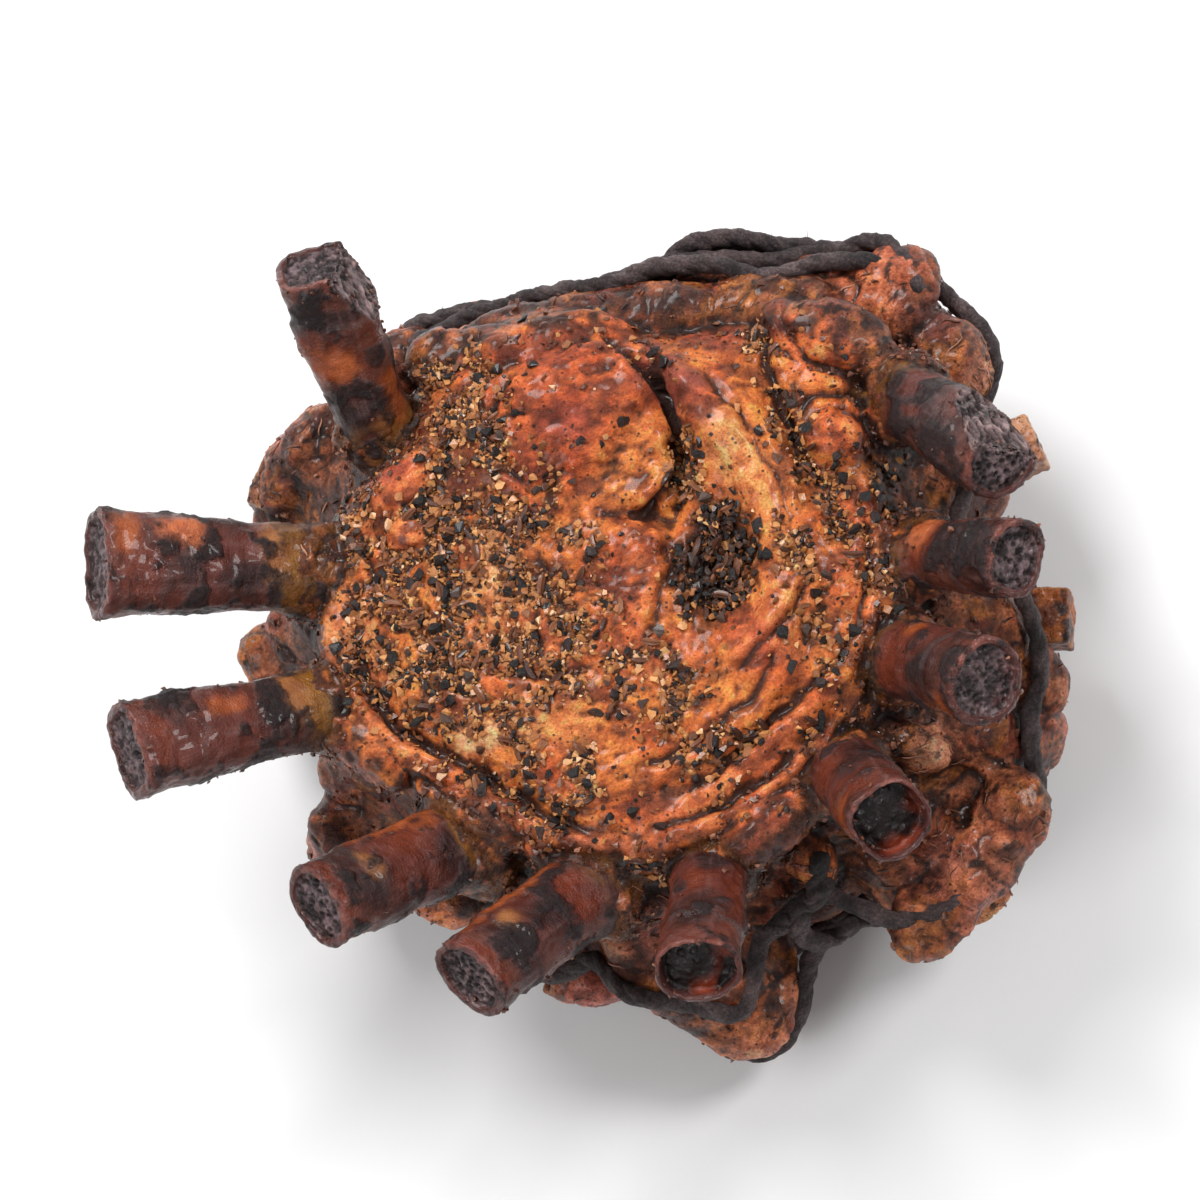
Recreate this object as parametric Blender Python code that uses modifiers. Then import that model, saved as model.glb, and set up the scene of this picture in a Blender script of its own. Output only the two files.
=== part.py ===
"""Pork crown roast: a rack of ten ribs bent into a ring, meat inside, tied with twine.

Metres, +Z up. The origin is the middle of the flat base. +X is the side that shows its
sawn chine bones, and the two ends of the rack meet on the +Y side.
"""

import math
import random

import bmesh
import bpy
import numpy as np
from mathutils import Vector

MM = 0.001

# ---- driving dimensions, in millimetres and degrees ----
CLEARANCE = 0.3  # gap between two solids that touch
BASE_FLAT = 0.5  # what is lower than this is pressed flat by the roast's own weight
# Half section of the meat, from the middle of the top, over the rim, down to the base.
SECTION = [
    (0, 79), (14, 80), (28, 80.5), (42, 80), (54, 78), (62, 74), (67, 67),
    (70, 58), (73, 48), (76, 36), (78, 24), (79, 13), (76.5, 4), (70, 0), (38, 0), (0, 0),
]
RIM_AT = 0.37  # share of the section's length at which the top turns into the wall
BASE_AT = 0.76  # share at which the wall has turned under into the base
# The meat's edge seen from above: azimuth, how far it stands out or in, half angle.
RIM_SWELLS = [
    (48, 13, 16), (15, 2, 12), (80, -3, 10), (128, 3, 12), (172, 5, 16), (-160, 4, 14), (-122, -6, 16),
]
# One rib segment each: azimuth, radius and height of its head at the rim, the same three
# of its foot at the chine, and half its width.
SEGMENTS = {
    "rib_1": ((143, 71, 66), (156, 102, 28), 13),
    "rib_2": ((173, 73, 66), (185, 98, 25), 11),
    "rib_3": ((-161, 71, 64), (-144, 93, 24), 11),
    "rib_4": ((-124, 68, 62), (-101, 87, 26), 12),
    "rib_5": ((-96, 68, 62), (-76, 107, 24), 12),
    "rib_6": ((-71, 67, 62), (-59, 82, 30), 11),
    "rib_7": ((-38, 67, 64), (-40, 110, 31), 14),
    "rib_8": ((-14, 70, 66), (-25, 102, 36), 12),
    "rib_9": ((5, 72, 68), (-12, 103, 34), 12),
    "rib_10": ((33, 77, 66), (22, 95, 34), 12),
    "end_right": ((53, 84, 66), (46, 104, 46), 16),
    "end_back": ((78, 72, 66), (67, 93, 46), 17),
    "end_left": ((116, 68, 66), (127, 90, 30), 14),
}
FOOT_BULGE = 4  # how far a segment's foot swells past a straight line
UNDER_RADIUS = 70  # what every segment comes in to at the base
UNDER_CURVE = 1.25  # how late it does so: 1 is a straight slope
BLEND = 3.2  # radius of the rounding where two segments meet
# Rounded swells of the top: x, y, half length, half width, turn of the length, height.
TOP_SWELLS = [
    (-18, 44, 27, 20, 20, 4.5),  # the large lobe at the back left
    (-40, 55, 9, 8, 0, 2.0),
    (4, 2, 12, 17, 0, 2.0),  # the reddish lobe beside the well
    (21, 46, 20, 9, -52, 1.5),
    (54, 33, 7, 5, 30, 2.5),
    (-49, 26, 8, 7, 20, 3.5),
    (-47, 16, 6, 5, -20, 2.5),
    (58, 62, 12, 9, 20, -3.0),
]
# Long rounded folds of the top: points, half width, height.
TOP_RIDGES = [
    ([(10, 57), (21, 44), (32, 30), (38, 15), (41, 1), (37, -13), (27, -19)], 7.5, 4.0),
    ([(47, 59), (56, 42), (62, 21), (62, 0), (57, -18), (47, -35)], 6, 2.2),
    ([(-67, 0), (-65, -19), (-55, -34), (-40, -44), (-27, -53), (-11, -59), (1, -61)], 5, 3.2),
    ([(53, -33), (42, -44), (28, -53), (14, -57)], 4.5, 1.8),
]
# Creases of the top: points, half width, depth.
TOP_CREASES = [
    ([(-8, 64), (4, 56), (12, 45), (16, 33), (17, 23), (14, 16), (6, 16), (-2, 18)], 3.2, 6.0),
    ([(34, 55), (39, 43), (44, 31), (52, 17), (56, 5)], 3.4, 2.6),
    ([(60, -14), (53, -27), (41, -41), (28, -49), (17, -53)], 2.6, 2.0),
    ([(44, -25), (32, -37), (19, -47), (7, -49)], 2.6, 1.4),
    ([(-62, -3), (-59, -18), (-49, -31), (-33, -39), (-20, -48), (-2, -57)], 3.0, 2.4),
    ([(48, 37), (56, 37), (60, 27)], 2.0, 1.8),
]
# The hollow where the swirl closes: its middle, half sizes, turn and depth.
WELL = ((25, 6), (9.5, 14.5), -6, 11)
MEAT_GRID = (180, 90)  # faces round the ring, and from the top to the base
MEAT_KEPT = 0.17  # share of those faces that the finished form keeps

# One frenched bone each: middle of its foot where it leaves the meat, middle of its sawn
# tip, half width and half thickness at the tip, and the same two at the meat.
BONES = {
    "rib_1": ((-57, 43, 70), (-63, 73, 104), (10.0, 8.8), (9.5, 8.5)),
    "rib_2": ((-75, 9, 70), (-115.5, 6, 100), (12.6, 7.8), (11.0, 8.0)),
    "rib_3": ((-70, -24, 68), (-107, -37.5, 100), (10.8, 7.8), (10.2, 8.0)),
    "rib_4": ((-38, -57, 66), (-62.5, -74, 99), (9.8, 7.4), (13.0, 9.0)),
    "rib_5": ((-7, -68, 66), (-28, -90.5, 97), (9.8, 7.6), (12.2, 9.0)),
    "rib_6": ((22, -64, 66), (24, -90, 102), (9.2, 7.8), (10.0, 8.4)),
    "rib_7": ((53, -42, 68), (67, -58, 102), (8.6, 8.4), (10.5, 8.8)),
    "rib_8": ((67, -17, 70), (88, -28, 101), (9.4, 8.8), (10.5, 8.8)),
    "rib_9": ((72, 6, 72), (95, 0, 98), (8.6, 7.2), (9.0, 8.0)),
    "rib_10": ((68, 43, 70), (93, 22, 102), (10.0, 8.4), (10.0, 8.6)),
}
BONE_SIDES = 16
BONE_STEPS = 6
BONE_SEAT = 13  # length of bone inside the meat
BONE_WAIST = 0.9  # share of its width that a bone keeps between foot and tip
MARROW_IN = 2.2  # wall of the bone round its marrow
MARROW_DEEP = 0.9
# Saw cuts that take a slice off a bone: middle of the cut face and the way that it faces.
SAW_CUTS = {
    "rib_1": ((-52.5, 66, 96), (0.86, 0.36, 0.36)),
    "rib_10": ((88, 31, 98), (0.52, 0.62, 0.59)),
}
# Sawn blocks of chine bone that stand out of the feet: azimuth, radius, height of their
# middle, and their width round the ring, depth and height.
CHINE_BLOCKS = {
    "chine_1": (23, 97.5, 35, (12, 12, 14)),
    "chine_2": (-1, 96, 30, (13, 12, 15)),
    "chine_3": (158, 98, 30, (13, 12, 13)),
    "chine_4": (185, 93, 25, (12, 12, 14)),
    "chine_5": (121, 88, 21, (13, 12, 13)),
    "chine_6": (-103, 85, 20, (12, 12, 13)),
}
# Loops of twine round the wall: heights at even steps of azimuth from -180.
TWINE_LOOPS = {
    "twine_upper": (
        15, 15, 15, 16, 24, 35.5, 45, 40, 46, 47, 41, 43, 52, 51, 47, 49, 55, 59, 60, 56, 52, 42, 22, 15,
    ),
    "twine_middle": (
        9.5, 9.5, 9.5, 9.5, 9.5, 9.5, 10, 16, 26, 22, 14, 13, 13, 13, 17, 33, 48, 54, 55, 51, 46, 32, 14, 10,
    ),
    "twine_lower": (
        4.5, 4.5, 4.5, 4.5, 4.5, 4.5, 4.5, 5, 6, 5, 5, 5, 5, 5, 6, 14, 40, 49, 50, 46, 38, 20, 7, 5,
    ),
}
TWINE_TAUT = (35, 128)  # azimuths between which a loop is pulled towards straight from foot to foot
TWINE_PULL = 0.55  # how far it is pulled there: 1 is straight
TWINE_SAG = 6  # degrees over which it is smoothed where it sinks between the feet
TWINE_RADIUS = 2.1
TWINE_POINTS = 60
GRAINS = 46
GRAIN_RADIUS = (1.1, 1.7)

COLOURS = {  # base colour, roughness
    "meat": ((0.34, 0.13, 0.045), 0.5),
    "bone": ((0.11, 0.035, 0.02), 0.4),
    "chine": ((0.33, 0.14, 0.06), 0.5),
    "twine": ((0.035, 0.026, 0.024), 0.8),
}


# ---- geometry helpers ----
def smooth_path(points, share):
    """Points at these shares of the way along a smooth curve through the given points."""
    points = np.asarray(points, float)
    count = len(points) - 1
    at = np.clip(np.asarray(share, float), 0, 1) * count
    i = np.minimum(at.astype(int), count - 1)
    t = (at - i)[..., None]
    before, here = points[np.maximum(i - 1, 0)], points[i]
    after, beyond = points[i + 1], points[np.minimum(i + 2, count)]
    return 0.5 * (
        2 * here
        + (after - before) * t
        + (2 * before - 5 * here + 4 * after - beyond) * t**2
        + (3 * here - before - 3 * after + beyond) * t**3
    )


def distance_to_line(x, y, points):
    """Distance from each (x, y) to a broken line, and the share of the line's length there."""
    best = np.full(np.shape(x), np.inf)
    share = np.zeros(np.shape(x))
    ends = np.asarray(points, float)
    lengths = np.hypot(*np.diff(ends, axis=0).T)
    starts = np.concatenate([[0], np.cumsum(lengths)])
    for k, (a, b) in enumerate(zip(ends[:-1], ends[1:])):
        t = ((x - a[0]) * (b[0] - a[0]) + (y - a[1]) * (b[1] - a[1])) / lengths[k] ** 2
        t = np.clip(t, 0, 1)
        d = np.hypot(x - a[0] - t * (b[0] - a[0]), y - a[1] - t * (b[1] - a[1]))
        share = np.where(d < best, (starts[k] + t * lengths[k]) / starts[-1], share)
        best = np.minimum(best, d)
    return best, share


def angle_between(a, b):
    """Signed difference of two azimuths in degrees, from -180 to 180."""
    return (np.asarray(a) - b + 180) % 360 - 180


def bell(x):
    return np.exp(-np.square(x))


def taper(share):
    """1 along a fold, falling to 0 at its two ends."""
    return np.clip(np.minimum(share, 1 - share) * 8, 0, 1) ** 0.7


# ---- the meat's form, in millimetres ----
def wall_radius(azimuth, z, section_radius):
    """Radius of the outer wall: the plain section, with a rounded rib for each segment."""
    total = np.exp(section_radius / BLEND)
    for head, foot, half_width in SEGMENTS.values():
        turn = angle_between(foot[0], head[0])
        down = np.clip((head[2] - z) / (head[2] - foot[2]), 0, 1)
        middle = head[0] + turn * down
        radius = head[1] + (foot[1] - head[1]) * down + FOOT_BULGE * np.sin(np.pi * down) * down
        under = np.clip((foot[2] - z) / foot[2], 0, 1)
        radius = radius - (foot[1] - UNDER_RADIUS) * under**UNDER_CURVE
        above = np.clip((z - head[2]) / 10, 0, 1)
        across = np.radians(angle_between(azimuth, middle)) * radius / half_width
        rib = radius - half_width * 0.6 * np.abs(across) ** 2.6 - 9 * above
        total = total + np.exp(np.maximum(rib, 40) / BLEND)
    return BLEND * np.log(total)


def top_relief(x, y):
    """Height of the lobes, folds and creases of the top, above its plain section."""
    lift = np.zeros(np.shape(x))
    for cx, cy, length, width, turn, height in TOP_SWELLS:
        c, s = math.cos(math.radians(turn)), math.sin(math.radians(turn))
        u, v = (x - cx) * c + (y - cy) * s, (y - cy) * c - (x - cx) * s
        lift += height * bell((u / length) ** 2 + (v / width) ** 2)
    for points, width, height in TOP_RIDGES:
        d, share = distance_to_line(x, y, points)
        lift += height * bell(d / width) * taper(share)
    for points, width, depth in TOP_CREASES:
        d, share = distance_to_line(x, y, points)
        lift -= depth * bell(d / width) * taper(share)
    (cx, cy), (half_x, half_y), turn, depth = WELL
    c, s = math.cos(math.radians(turn)), math.sin(math.radians(turn))
    u, v = (x - cx) * c + (y - cy) * s, (y - cy) * c - (x - cx) * s
    lift -= depth * np.exp(-(((u / half_x) ** 2 + (v / half_y) ** 2) ** 1.6))
    return lift


def meat_points(azimuth, share):
    """Points of the meat's surface at an azimuth in degrees and a share of its half section."""
    section = smooth_path(SECTION, share)
    radius, z = section[..., 0], section[..., 1]
    swell = np.zeros(np.shape(azimuth))
    for middle, reach, half_angle in RIM_SWELLS:
        swell = swell + reach * bell(angle_between(azimuth, middle) / half_angle)
    plain = radius + swell * np.clip(radius / 66, 0, 1) ** 2 * np.clip(z / 50, 0, 1)
    on_wall = np.clip((share - RIM_AT) / 0.06, 0, 1) * np.clip((BASE_AT + 0.06 - share) / 0.06, 0, 1)
    radius = plain + (wall_radius(azimuth, z, plain) - plain) * on_wall
    x, y = radius * np.cos(np.radians(azimuth)), radius * np.sin(np.radians(azimuth))
    on_top = np.clip((RIM_AT + 0.04 - share) / 0.08, 0, 1)
    return np.stack([x, y, z + top_relief(x, y) * on_top], -1)


# ---- objects ----
def material(name):
    made = bpy.data.materials.new(name)
    made.use_nodes = True
    shader = made.node_tree.nodes["Principled BSDF"]
    colour, roughness = COLOURS[name]
    shader.inputs["Base Color"].default_value = (*colour, 1)
    shader.inputs["Roughness"].default_value = roughness
    shader.inputs["Metallic"].default_value = 0
    return made


def add_object(name, bm, collection, finish=None, smooth=True):
    """A new object from a bmesh whose points are in millimetres."""
    bm.normal_update()
    bmesh.ops.recalc_face_normals(bm, faces=bm.faces)
    mesh = bpy.data.meshes.new(name)
    bmesh.ops.scale(bm, vec=(MM, MM, MM), verts=bm.verts)
    bm.to_mesh(mesh)
    bm.free()
    if smooth:
        mesh.shade_smooth()
        mesh.set_sharp_from_angle(angle=math.radians(50))
    if finish:
        mesh.materials.append(finish)
    made = bpy.data.objects.new(name, mesh)
    collection.objects.link(made)
    return made


def apply_modifiers(target):
    """Makes the evaluated form of an object its mesh."""
    bpy.context.view_layer.update()
    graph = bpy.context.evaluated_depsgraph_get()
    result = bpy.data.meshes.new_from_object(target.evaluated_get(graph))
    target.modifiers.clear()
    target.data = result


def apply_boolean(target, operation, cutters):
    """Joins or cuts the target with a whole collection, and leaves the result as its mesh."""
    boolean = target.modifiers.new("boolean", "BOOLEAN")
    boolean.operation = operation
    boolean.operand_type = "COLLECTION"
    boolean.collection = cutters
    boolean.solver = "EXACT"
    apply_modifiers(target)
    for used in list(cutters.objects):
        bpy.data.objects.remove(used)


def make_meat(collection, finish):
    bm = bmesh.new()
    bmesh.ops.create_uvsphere(bm, u_segments=MEAT_GRID[0], v_segments=MEAT_GRID[1], radius=1)
    at = np.array([v.co for v in bm.verts])
    azimuth = np.degrees(np.arctan2(at[:, 1], at[:, 0]))
    share = np.degrees(np.arccos(np.clip(at[:, 2], -1, 1))) / 180
    share = np.interp(share, [0, 0.02, 0.86, 1], [0, 0.02, BASE_AT + 0.04, 1])
    for vertex, point in zip(bm.verts, meat_points(azimuth, share)):
        vertex.co = point
    meat = add_object("meat", bm, collection, finish)
    simpler = meat.modifiers.new("simpler", "DECIMATE")
    simpler.ratio = MEAT_KEPT
    apply_modifiers(meat)
    for vertex in meat.data.vertices:
        if vertex.co.z < BASE_FLAT * MM:
            vertex.co.z = 0
    return meat


def bone_frame(foot, tip):
    """The bone's own axes: across its width, through its thickness, and along it."""
    along = (Vector(tip) - Vector(foot)).normalized()
    across = along.cross(Vector((0, 0, 1))).normalized()
    return across, along.cross(across), along


def bone_mesh(foot, tip, tip_half, foot_half, extra=0.0):
    """A rib as a lofted cylinder from inside the meat to its sawn tip, grown by extra."""
    foot, tip = Vector(foot), Vector(tip)
    across, through, along = bone_frame(foot, tip)
    length = (tip - foot).length + BONE_SEAT + extra
    start = foot - along * (BONE_SEAT + extra)
    bm = bmesh.new()
    bmesh.ops.create_cone(bm, cap_ends=True, segments=BONE_SIDES, radius1=1, radius2=1, depth=1)
    upright = [e for e in bm.edges if abs(e.verts[0].co.z - e.verts[1].co.z) > 0.5]
    bmesh.ops.subdivide_edges(bm, edges=upright, cuts=BONE_STEPS - 1, use_grid_fill=True)
    for vertex in bm.verts:
        share = vertex.co.z + 0.5
        waist = 1 - (1 - BONE_WAIST) * math.sin(math.pi * share) ** 2
        half_width = (foot_half[0] + (tip_half[0] - foot_half[0]) * share) * waist + extra
        half_thick = (foot_half[1] + (tip_half[1] - foot_half[1]) * share) * waist + extra
        bow = through * (-1.5 * math.sin(math.pi * share))
        vertex.co = (
            start
            + bow
            + along * (length * share)
            + across * (vertex.co.x * half_width)
            + through * (vertex.co.y * half_thick)
        )
    return bm


def saw_off(bm, middle, facing):
    """Takes away what lies in front of a cut face, and closes the cut."""
    geometry = bm.verts[:] + bm.edges[:] + bm.faces[:]
    cut = bmesh.ops.bisect_plane(
        bm, geom=geometry, plane_co=middle, plane_no=Vector(facing).normalized(), clear_outer=True
    )
    edges = [e for e in cut["geom_cut"] if isinstance(e, bmesh.types.BMEdge)]
    bmesh.ops.holes_fill(bm, edges=edges, sides=0)


def make_bone(name, collection, finish):
    foot, tip, tip_half, foot_half = BONES[name]
    bm = bone_mesh(foot, tip, tip_half, foot_half)
    along = bone_frame(foot, tip)[2]
    tip_face = max(bm.faces, key=lambda face: face.calc_center_median().dot(along))
    bmesh.ops.inset_region(bm, faces=[tip_face], thickness=MARROW_IN, depth=-MARROW_DEEP)
    if name in SAW_CUTS:
        saw_off(bm, *SAW_CUTS[name])
    return add_object(name, bm, collection, finish)


def make_bone_pocket(name, cutters):
    foot, tip, tip_half, foot_half = BONES[name]
    return add_object(name + "_pocket", bone_mesh(foot, tip, tip_half, foot_half, CLEARANCE), cutters)


def block_mesh(azimuth, radius, z, sizes, extra=0.0):
    """A sawn block of bone, its depth pointing away from the middle of the ring."""
    width, depth, height = (s + 2 * extra for s in sizes)
    outward = Vector((math.cos(math.radians(azimuth)), math.sin(math.radians(azimuth)), 0))
    sideways = Vector((-outward.y, outward.x, 0))
    bm = bmesh.new()
    bmesh.ops.create_cube(bm, size=1)
    for vertex in bm.verts:
        x, y, up = vertex.co
        vertex.co = (
            outward * (radius + x * depth) + sideways * (y * width) + Vector((0, 0, z + up * height))
        )
    return bm


def make_chine(name, collection, finish):
    made = add_object(name, block_mesh(*CHINE_BLOCKS[name]), collection, finish, smooth=False)
    edge = made.modifiers.new("worn edges", "BEVEL")
    edge.width = 0.8 * MM
    edge.segments = 1
    return made


def hull(points):
    """The convex outline of flat points, anticlockwise."""
    points = sorted(map(tuple, points))
    halves = []
    for ordered in (points, points[::-1]):
        half = []
        for p in ordered:
            while len(half) > 1 and (
                (half[-1][0] - half[-2][0]) * (p[1] - half[-2][1])
                <= (half[-1][1] - half[-2][1]) * (p[0] - half[-2][0])
            ):
                half.pop()
            half.append(p)
        halves += half[:-1]
    return np.array(halves)


def loop_height(heights, azimuth):
    """Height of a loop at an azimuth, read smoothly from its heights at even steps."""
    step = 360 / len(heights)
    at = (np.asarray(azimuth, float) + 180) / step
    i = np.floor(at).astype(int) % len(heights)
    t = at - np.floor(at)
    t = t * t * (3 - 2 * t)
    heights = np.asarray(heights, float)
    return heights[i] * (1 - t) + heights[(i + 1) % len(heights)] * t


def wall_outline(heights, reach):
    """Radius of the wall at every second degree, where a loop lies, pushed out by reach."""
    azimuth = np.arange(-180, 180, 2.0)
    share = np.linspace(RIM_AT, BASE_AT + 0.07, 170)
    surface = meat_points(*np.meshgrid(azimuth, share, indexing="ij"))
    radius = []
    for k, z in enumerate(loop_height(heights, azimuth)):
        near = np.abs(surface[k, :, 2] - z) < reach
        radius.append(np.hypot(surface[k, near, 0], surface[k, near, 1]).max() + reach)
    return np.radians(azimuth), np.array(radius)


def around(values, reach, combine):
    """Each value of a ring combined with its neighbours up to reach places away."""
    return combine([np.roll(values, k) for k in range(-reach, reach + 1)], axis=0)


def twine_route(heights, reach):
    """Points of a loop, which touches the feet that stand out and sinks a little between them."""
    turn, wall = wall_outline(heights, reach)
    sagging = around(around(wall, TWINE_SAG // 2, np.max), TWINE_SAG // 2, np.mean)
    outward = np.stack([np.cos(turn), np.sin(turn)], -1)
    corners = hull(outward * wall[:, None])
    sides = np.roll(corners, -1, axis=0) - corners
    facing = np.stack([sides[:, 1], -sides[:, 0]], -1)
    taut = 1 / np.max(outward @ facing.T / np.sum(facing * corners, axis=1), axis=1)
    taut = around(taut, 2, np.mean)
    share = np.clip((np.degrees(turn) - TWINE_TAUT[0]) / 20, 0, 1)
    share = share * np.clip((TWINE_TAUT[1] - np.degrees(turn)) / 20, 0, 1)
    radius = np.maximum(sagging + (taut - sagging) * share * TWINE_PULL, wall)
    even = np.linspace(-math.pi, math.pi, TWINE_POINTS, endpoint=False)
    radius = np.interp(even, turn, radius, period=2 * math.pi)
    z = loop_height(heights, np.degrees(even))
    return np.stack([radius * np.cos(even), radius * np.sin(even), z], -1)


def make_twine(name, collection, finish):
    curve = bpy.data.curves.new(name, "CURVE")
    curve.dimensions = "3D"
    curve.bevel_depth = TWINE_RADIUS * MM
    curve.bevel_resolution = 1
    route = twine_route(TWINE_LOOPS[name], TWINE_RADIUS + CLEARANCE + 0.5)
    spline = curve.splines.new("POLY")
    spline.points.add(len(route) - 1)
    for point, place in zip(spline.points, route):
        point.co = (*(place * MM), 1)
    spline.use_cyclic_u = True
    curve.materials.append(finish)
    made = bpy.data.objects.new(name, curve)
    collection.objects.link(made)
    return made


def clear_of_bones(x, y):
    """True where a point of the top is well away from every bone."""
    feet = np.array([bone[0][:2] for bone in BONES.values()])
    return np.hypot(feet[:, 0] - x, feet[:, 1] - y).min() > 17


def make_grains(cutters):
    """The largest grains of cracked pepper, each a rough pebble half sunk in the top."""
    draw = random.Random(7)
    placed = []
    while len(placed) < GRAINS:
        azimuth = draw.uniform(-180, 180)
        share = (RIM_AT - 0.06) * math.sqrt(draw.random())
        x, y, z = meat_points(np.array([azimuth]), np.array([share]))[0]
        in_crust = bell(math.hypot(x + 28, y - 12) / 26) + bell(math.hypot(x - 26, y - 4) / 14)
        crowded = any(math.dist((x, y), other) < 4.2 for other in placed)
        if crowded or not clear_of_bones(x, y) or draw.random() > 0.25 + in_crust:
            continue
        placed.append((x, y))
        bm = bmesh.new()
        bmesh.ops.create_icosphere(bm, subdivisions=1, radius=draw.uniform(*GRAIN_RADIUS))
        turn = Vector((draw.random(), draw.random(), 1)).to_track_quat().to_matrix()
        bmesh.ops.rotate(bm, verts=bm.verts, matrix=turn)
        bmesh.ops.scale(bm, verts=bm.verts, vec=(1, draw.uniform(0.7, 1), draw.uniform(0.7, 0.9)))
        bmesh.ops.translate(bm, verts=bm.verts, vec=(x, y, z + 0.25))
        add_object(f"grain_{len(placed)}", bm, cutters)


def main():
    for old in list(bpy.data.objects):
        bpy.data.objects.remove(old)
    roast = bpy.data.collections.new("pork_crown_roast")
    joined = bpy.data.collections.new("joined_grains")
    cutters = bpy.data.collections.new("pockets")
    for collection in (roast, joined, cutters):
        bpy.context.scene.collection.children.link(collection)
    finishes = {name: material(name) for name in COLOURS}

    meat = make_meat(roast, finishes["meat"])
    make_grains(joined)
    apply_boolean(meat, "UNION", joined)
    for name in BONES:
        make_bone(name, roast, finishes["bone"])
        make_bone_pocket(name, cutters)
    for name, block in CHINE_BLOCKS.items():
        make_chine(name, roast, finishes["chine"])
        add_object(name + "_pocket", block_mesh(*block, extra=CLEARANCE), cutters)
    apply_boolean(meat, "DIFFERENCE", cutters)
    for name in TWINE_LOOPS:
        make_twine(name, roast, finishes["twine"])
    for collection in (joined, cutters):
        bpy.data.collections.remove(collection)


main()
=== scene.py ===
"""Looks of the pork crown roast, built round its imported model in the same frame.

The tables of the form repeat the part's source in millimetres and degrees. Colours are linear.
"""

import math

import bmesh
import bpy
import numpy as np
from mathutils import Matrix, Vector


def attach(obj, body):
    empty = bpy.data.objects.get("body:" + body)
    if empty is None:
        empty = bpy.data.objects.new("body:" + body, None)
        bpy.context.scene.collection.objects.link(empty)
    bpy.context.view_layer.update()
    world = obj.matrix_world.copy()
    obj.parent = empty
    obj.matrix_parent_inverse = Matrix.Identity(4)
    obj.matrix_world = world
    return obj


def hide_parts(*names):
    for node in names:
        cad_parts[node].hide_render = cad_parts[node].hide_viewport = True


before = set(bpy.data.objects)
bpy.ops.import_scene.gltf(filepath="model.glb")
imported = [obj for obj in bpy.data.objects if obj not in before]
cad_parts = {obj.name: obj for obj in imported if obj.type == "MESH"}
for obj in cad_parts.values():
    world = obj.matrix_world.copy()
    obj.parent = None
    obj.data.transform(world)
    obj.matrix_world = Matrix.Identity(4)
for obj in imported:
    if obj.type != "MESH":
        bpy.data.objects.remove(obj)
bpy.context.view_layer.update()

MM = 0.001

# ---- the roast's form: the same values as the part's source ----
BASE_FLAT = 0.5
SECTION = [
    (0, 79), (14, 80), (28, 80.5), (42, 80), (54, 78), (62, 74), (67, 67),
    (70, 58), (73, 48), (76, 36), (78, 24), (79, 13), (76.5, 4), (70, 0), (38, 0), (0, 0),
]
RIM_AT = 0.37
BASE_AT = 0.76
RIM_SWELLS = [
    (48, 13, 16), (15, 2, 12), (80, -3, 10), (128, 3, 12), (172, 5, 16), (-160, 4, 14), (-122, -6, 16),
]
SEGMENTS = {
    "rib_1": ((143, 71, 66), (156, 102, 28), 13),
    "rib_2": ((173, 73, 66), (185, 98, 25), 11),
    "rib_3": ((-161, 71, 64), (-144, 93, 24), 11),
    "rib_4": ((-124, 68, 62), (-101, 87, 26), 12),
    "rib_5": ((-96, 68, 62), (-76, 107, 24), 12),
    "rib_6": ((-71, 67, 62), (-59, 82, 30), 11),
    "rib_7": ((-38, 67, 64), (-40, 110, 31), 14),
    "rib_8": ((-14, 70, 66), (-25, 102, 36), 12),
    "rib_9": ((5, 72, 68), (-12, 103, 34), 12),
    "rib_10": ((33, 77, 66), (22, 95, 34), 12),
    "end_right": ((53, 84, 66), (46, 104, 46), 16),
    "end_back": ((78, 72, 66), (67, 93, 46), 17),
    "end_left": ((116, 68, 66), (127, 90, 30), 14),
}
FOOT_BULGE = 4
UNDER_RADIUS = 70
UNDER_CURVE = 1.25
BLEND = 3.2
TOP_SWELLS = [
    (-18, 44, 27, 20, 20, 4.5), (-40, 55, 9, 8, 0, 2.0), (4, 2, 12, 17, 0, 2.0), (21, 46, 20, 9, -52, 1.5),
    (54, 33, 7, 5, 30, 2.5), (-49, 26, 8, 7, 20, 3.5), (-47, 16, 6, 5, -20, 2.5), (58, 62, 12, 9, 20, -3.0),
]
TOP_RIDGES = [
    ([(10, 57), (21, 44), (32, 30), (38, 15), (41, 1), (37, -13), (27, -19)], 7.5, 4.0),
    ([(47, 59), (56, 42), (62, 21), (62, 0), (57, -18), (47, -35)], 6, 2.2),
    ([(-67, 0), (-65, -19), (-55, -34), (-40, -44), (-27, -53), (-11, -59), (1, -61)], 5, 3.2),
    ([(53, -33), (42, -44), (28, -53), (14, -57)], 4.5, 1.8),
]
TOP_CREASES = [
    ([(-8, 64), (4, 56), (12, 45), (16, 33), (17, 23), (14, 16), (6, 16), (-2, 18)], 3.2, 6.0),
    ([(34, 55), (39, 43), (44, 31), (52, 17), (56, 5)], 3.4, 2.6),
    ([(60, -14), (53, -27), (41, -41), (28, -49), (17, -53)], 2.6, 2.0),
    ([(44, -25), (32, -37), (19, -47), (7, -49)], 2.6, 1.4),
    ([(-62, -3), (-59, -18), (-49, -31), (-33, -39), (-20, -48), (-2, -57)], 3.0, 2.4),
    ([(48, 37), (56, 37), (60, 27)], 2.0, 1.8),
]
WELL = (25, 6, 9.5, 14.5, -6)
WELL_DEPTH = 11
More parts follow.
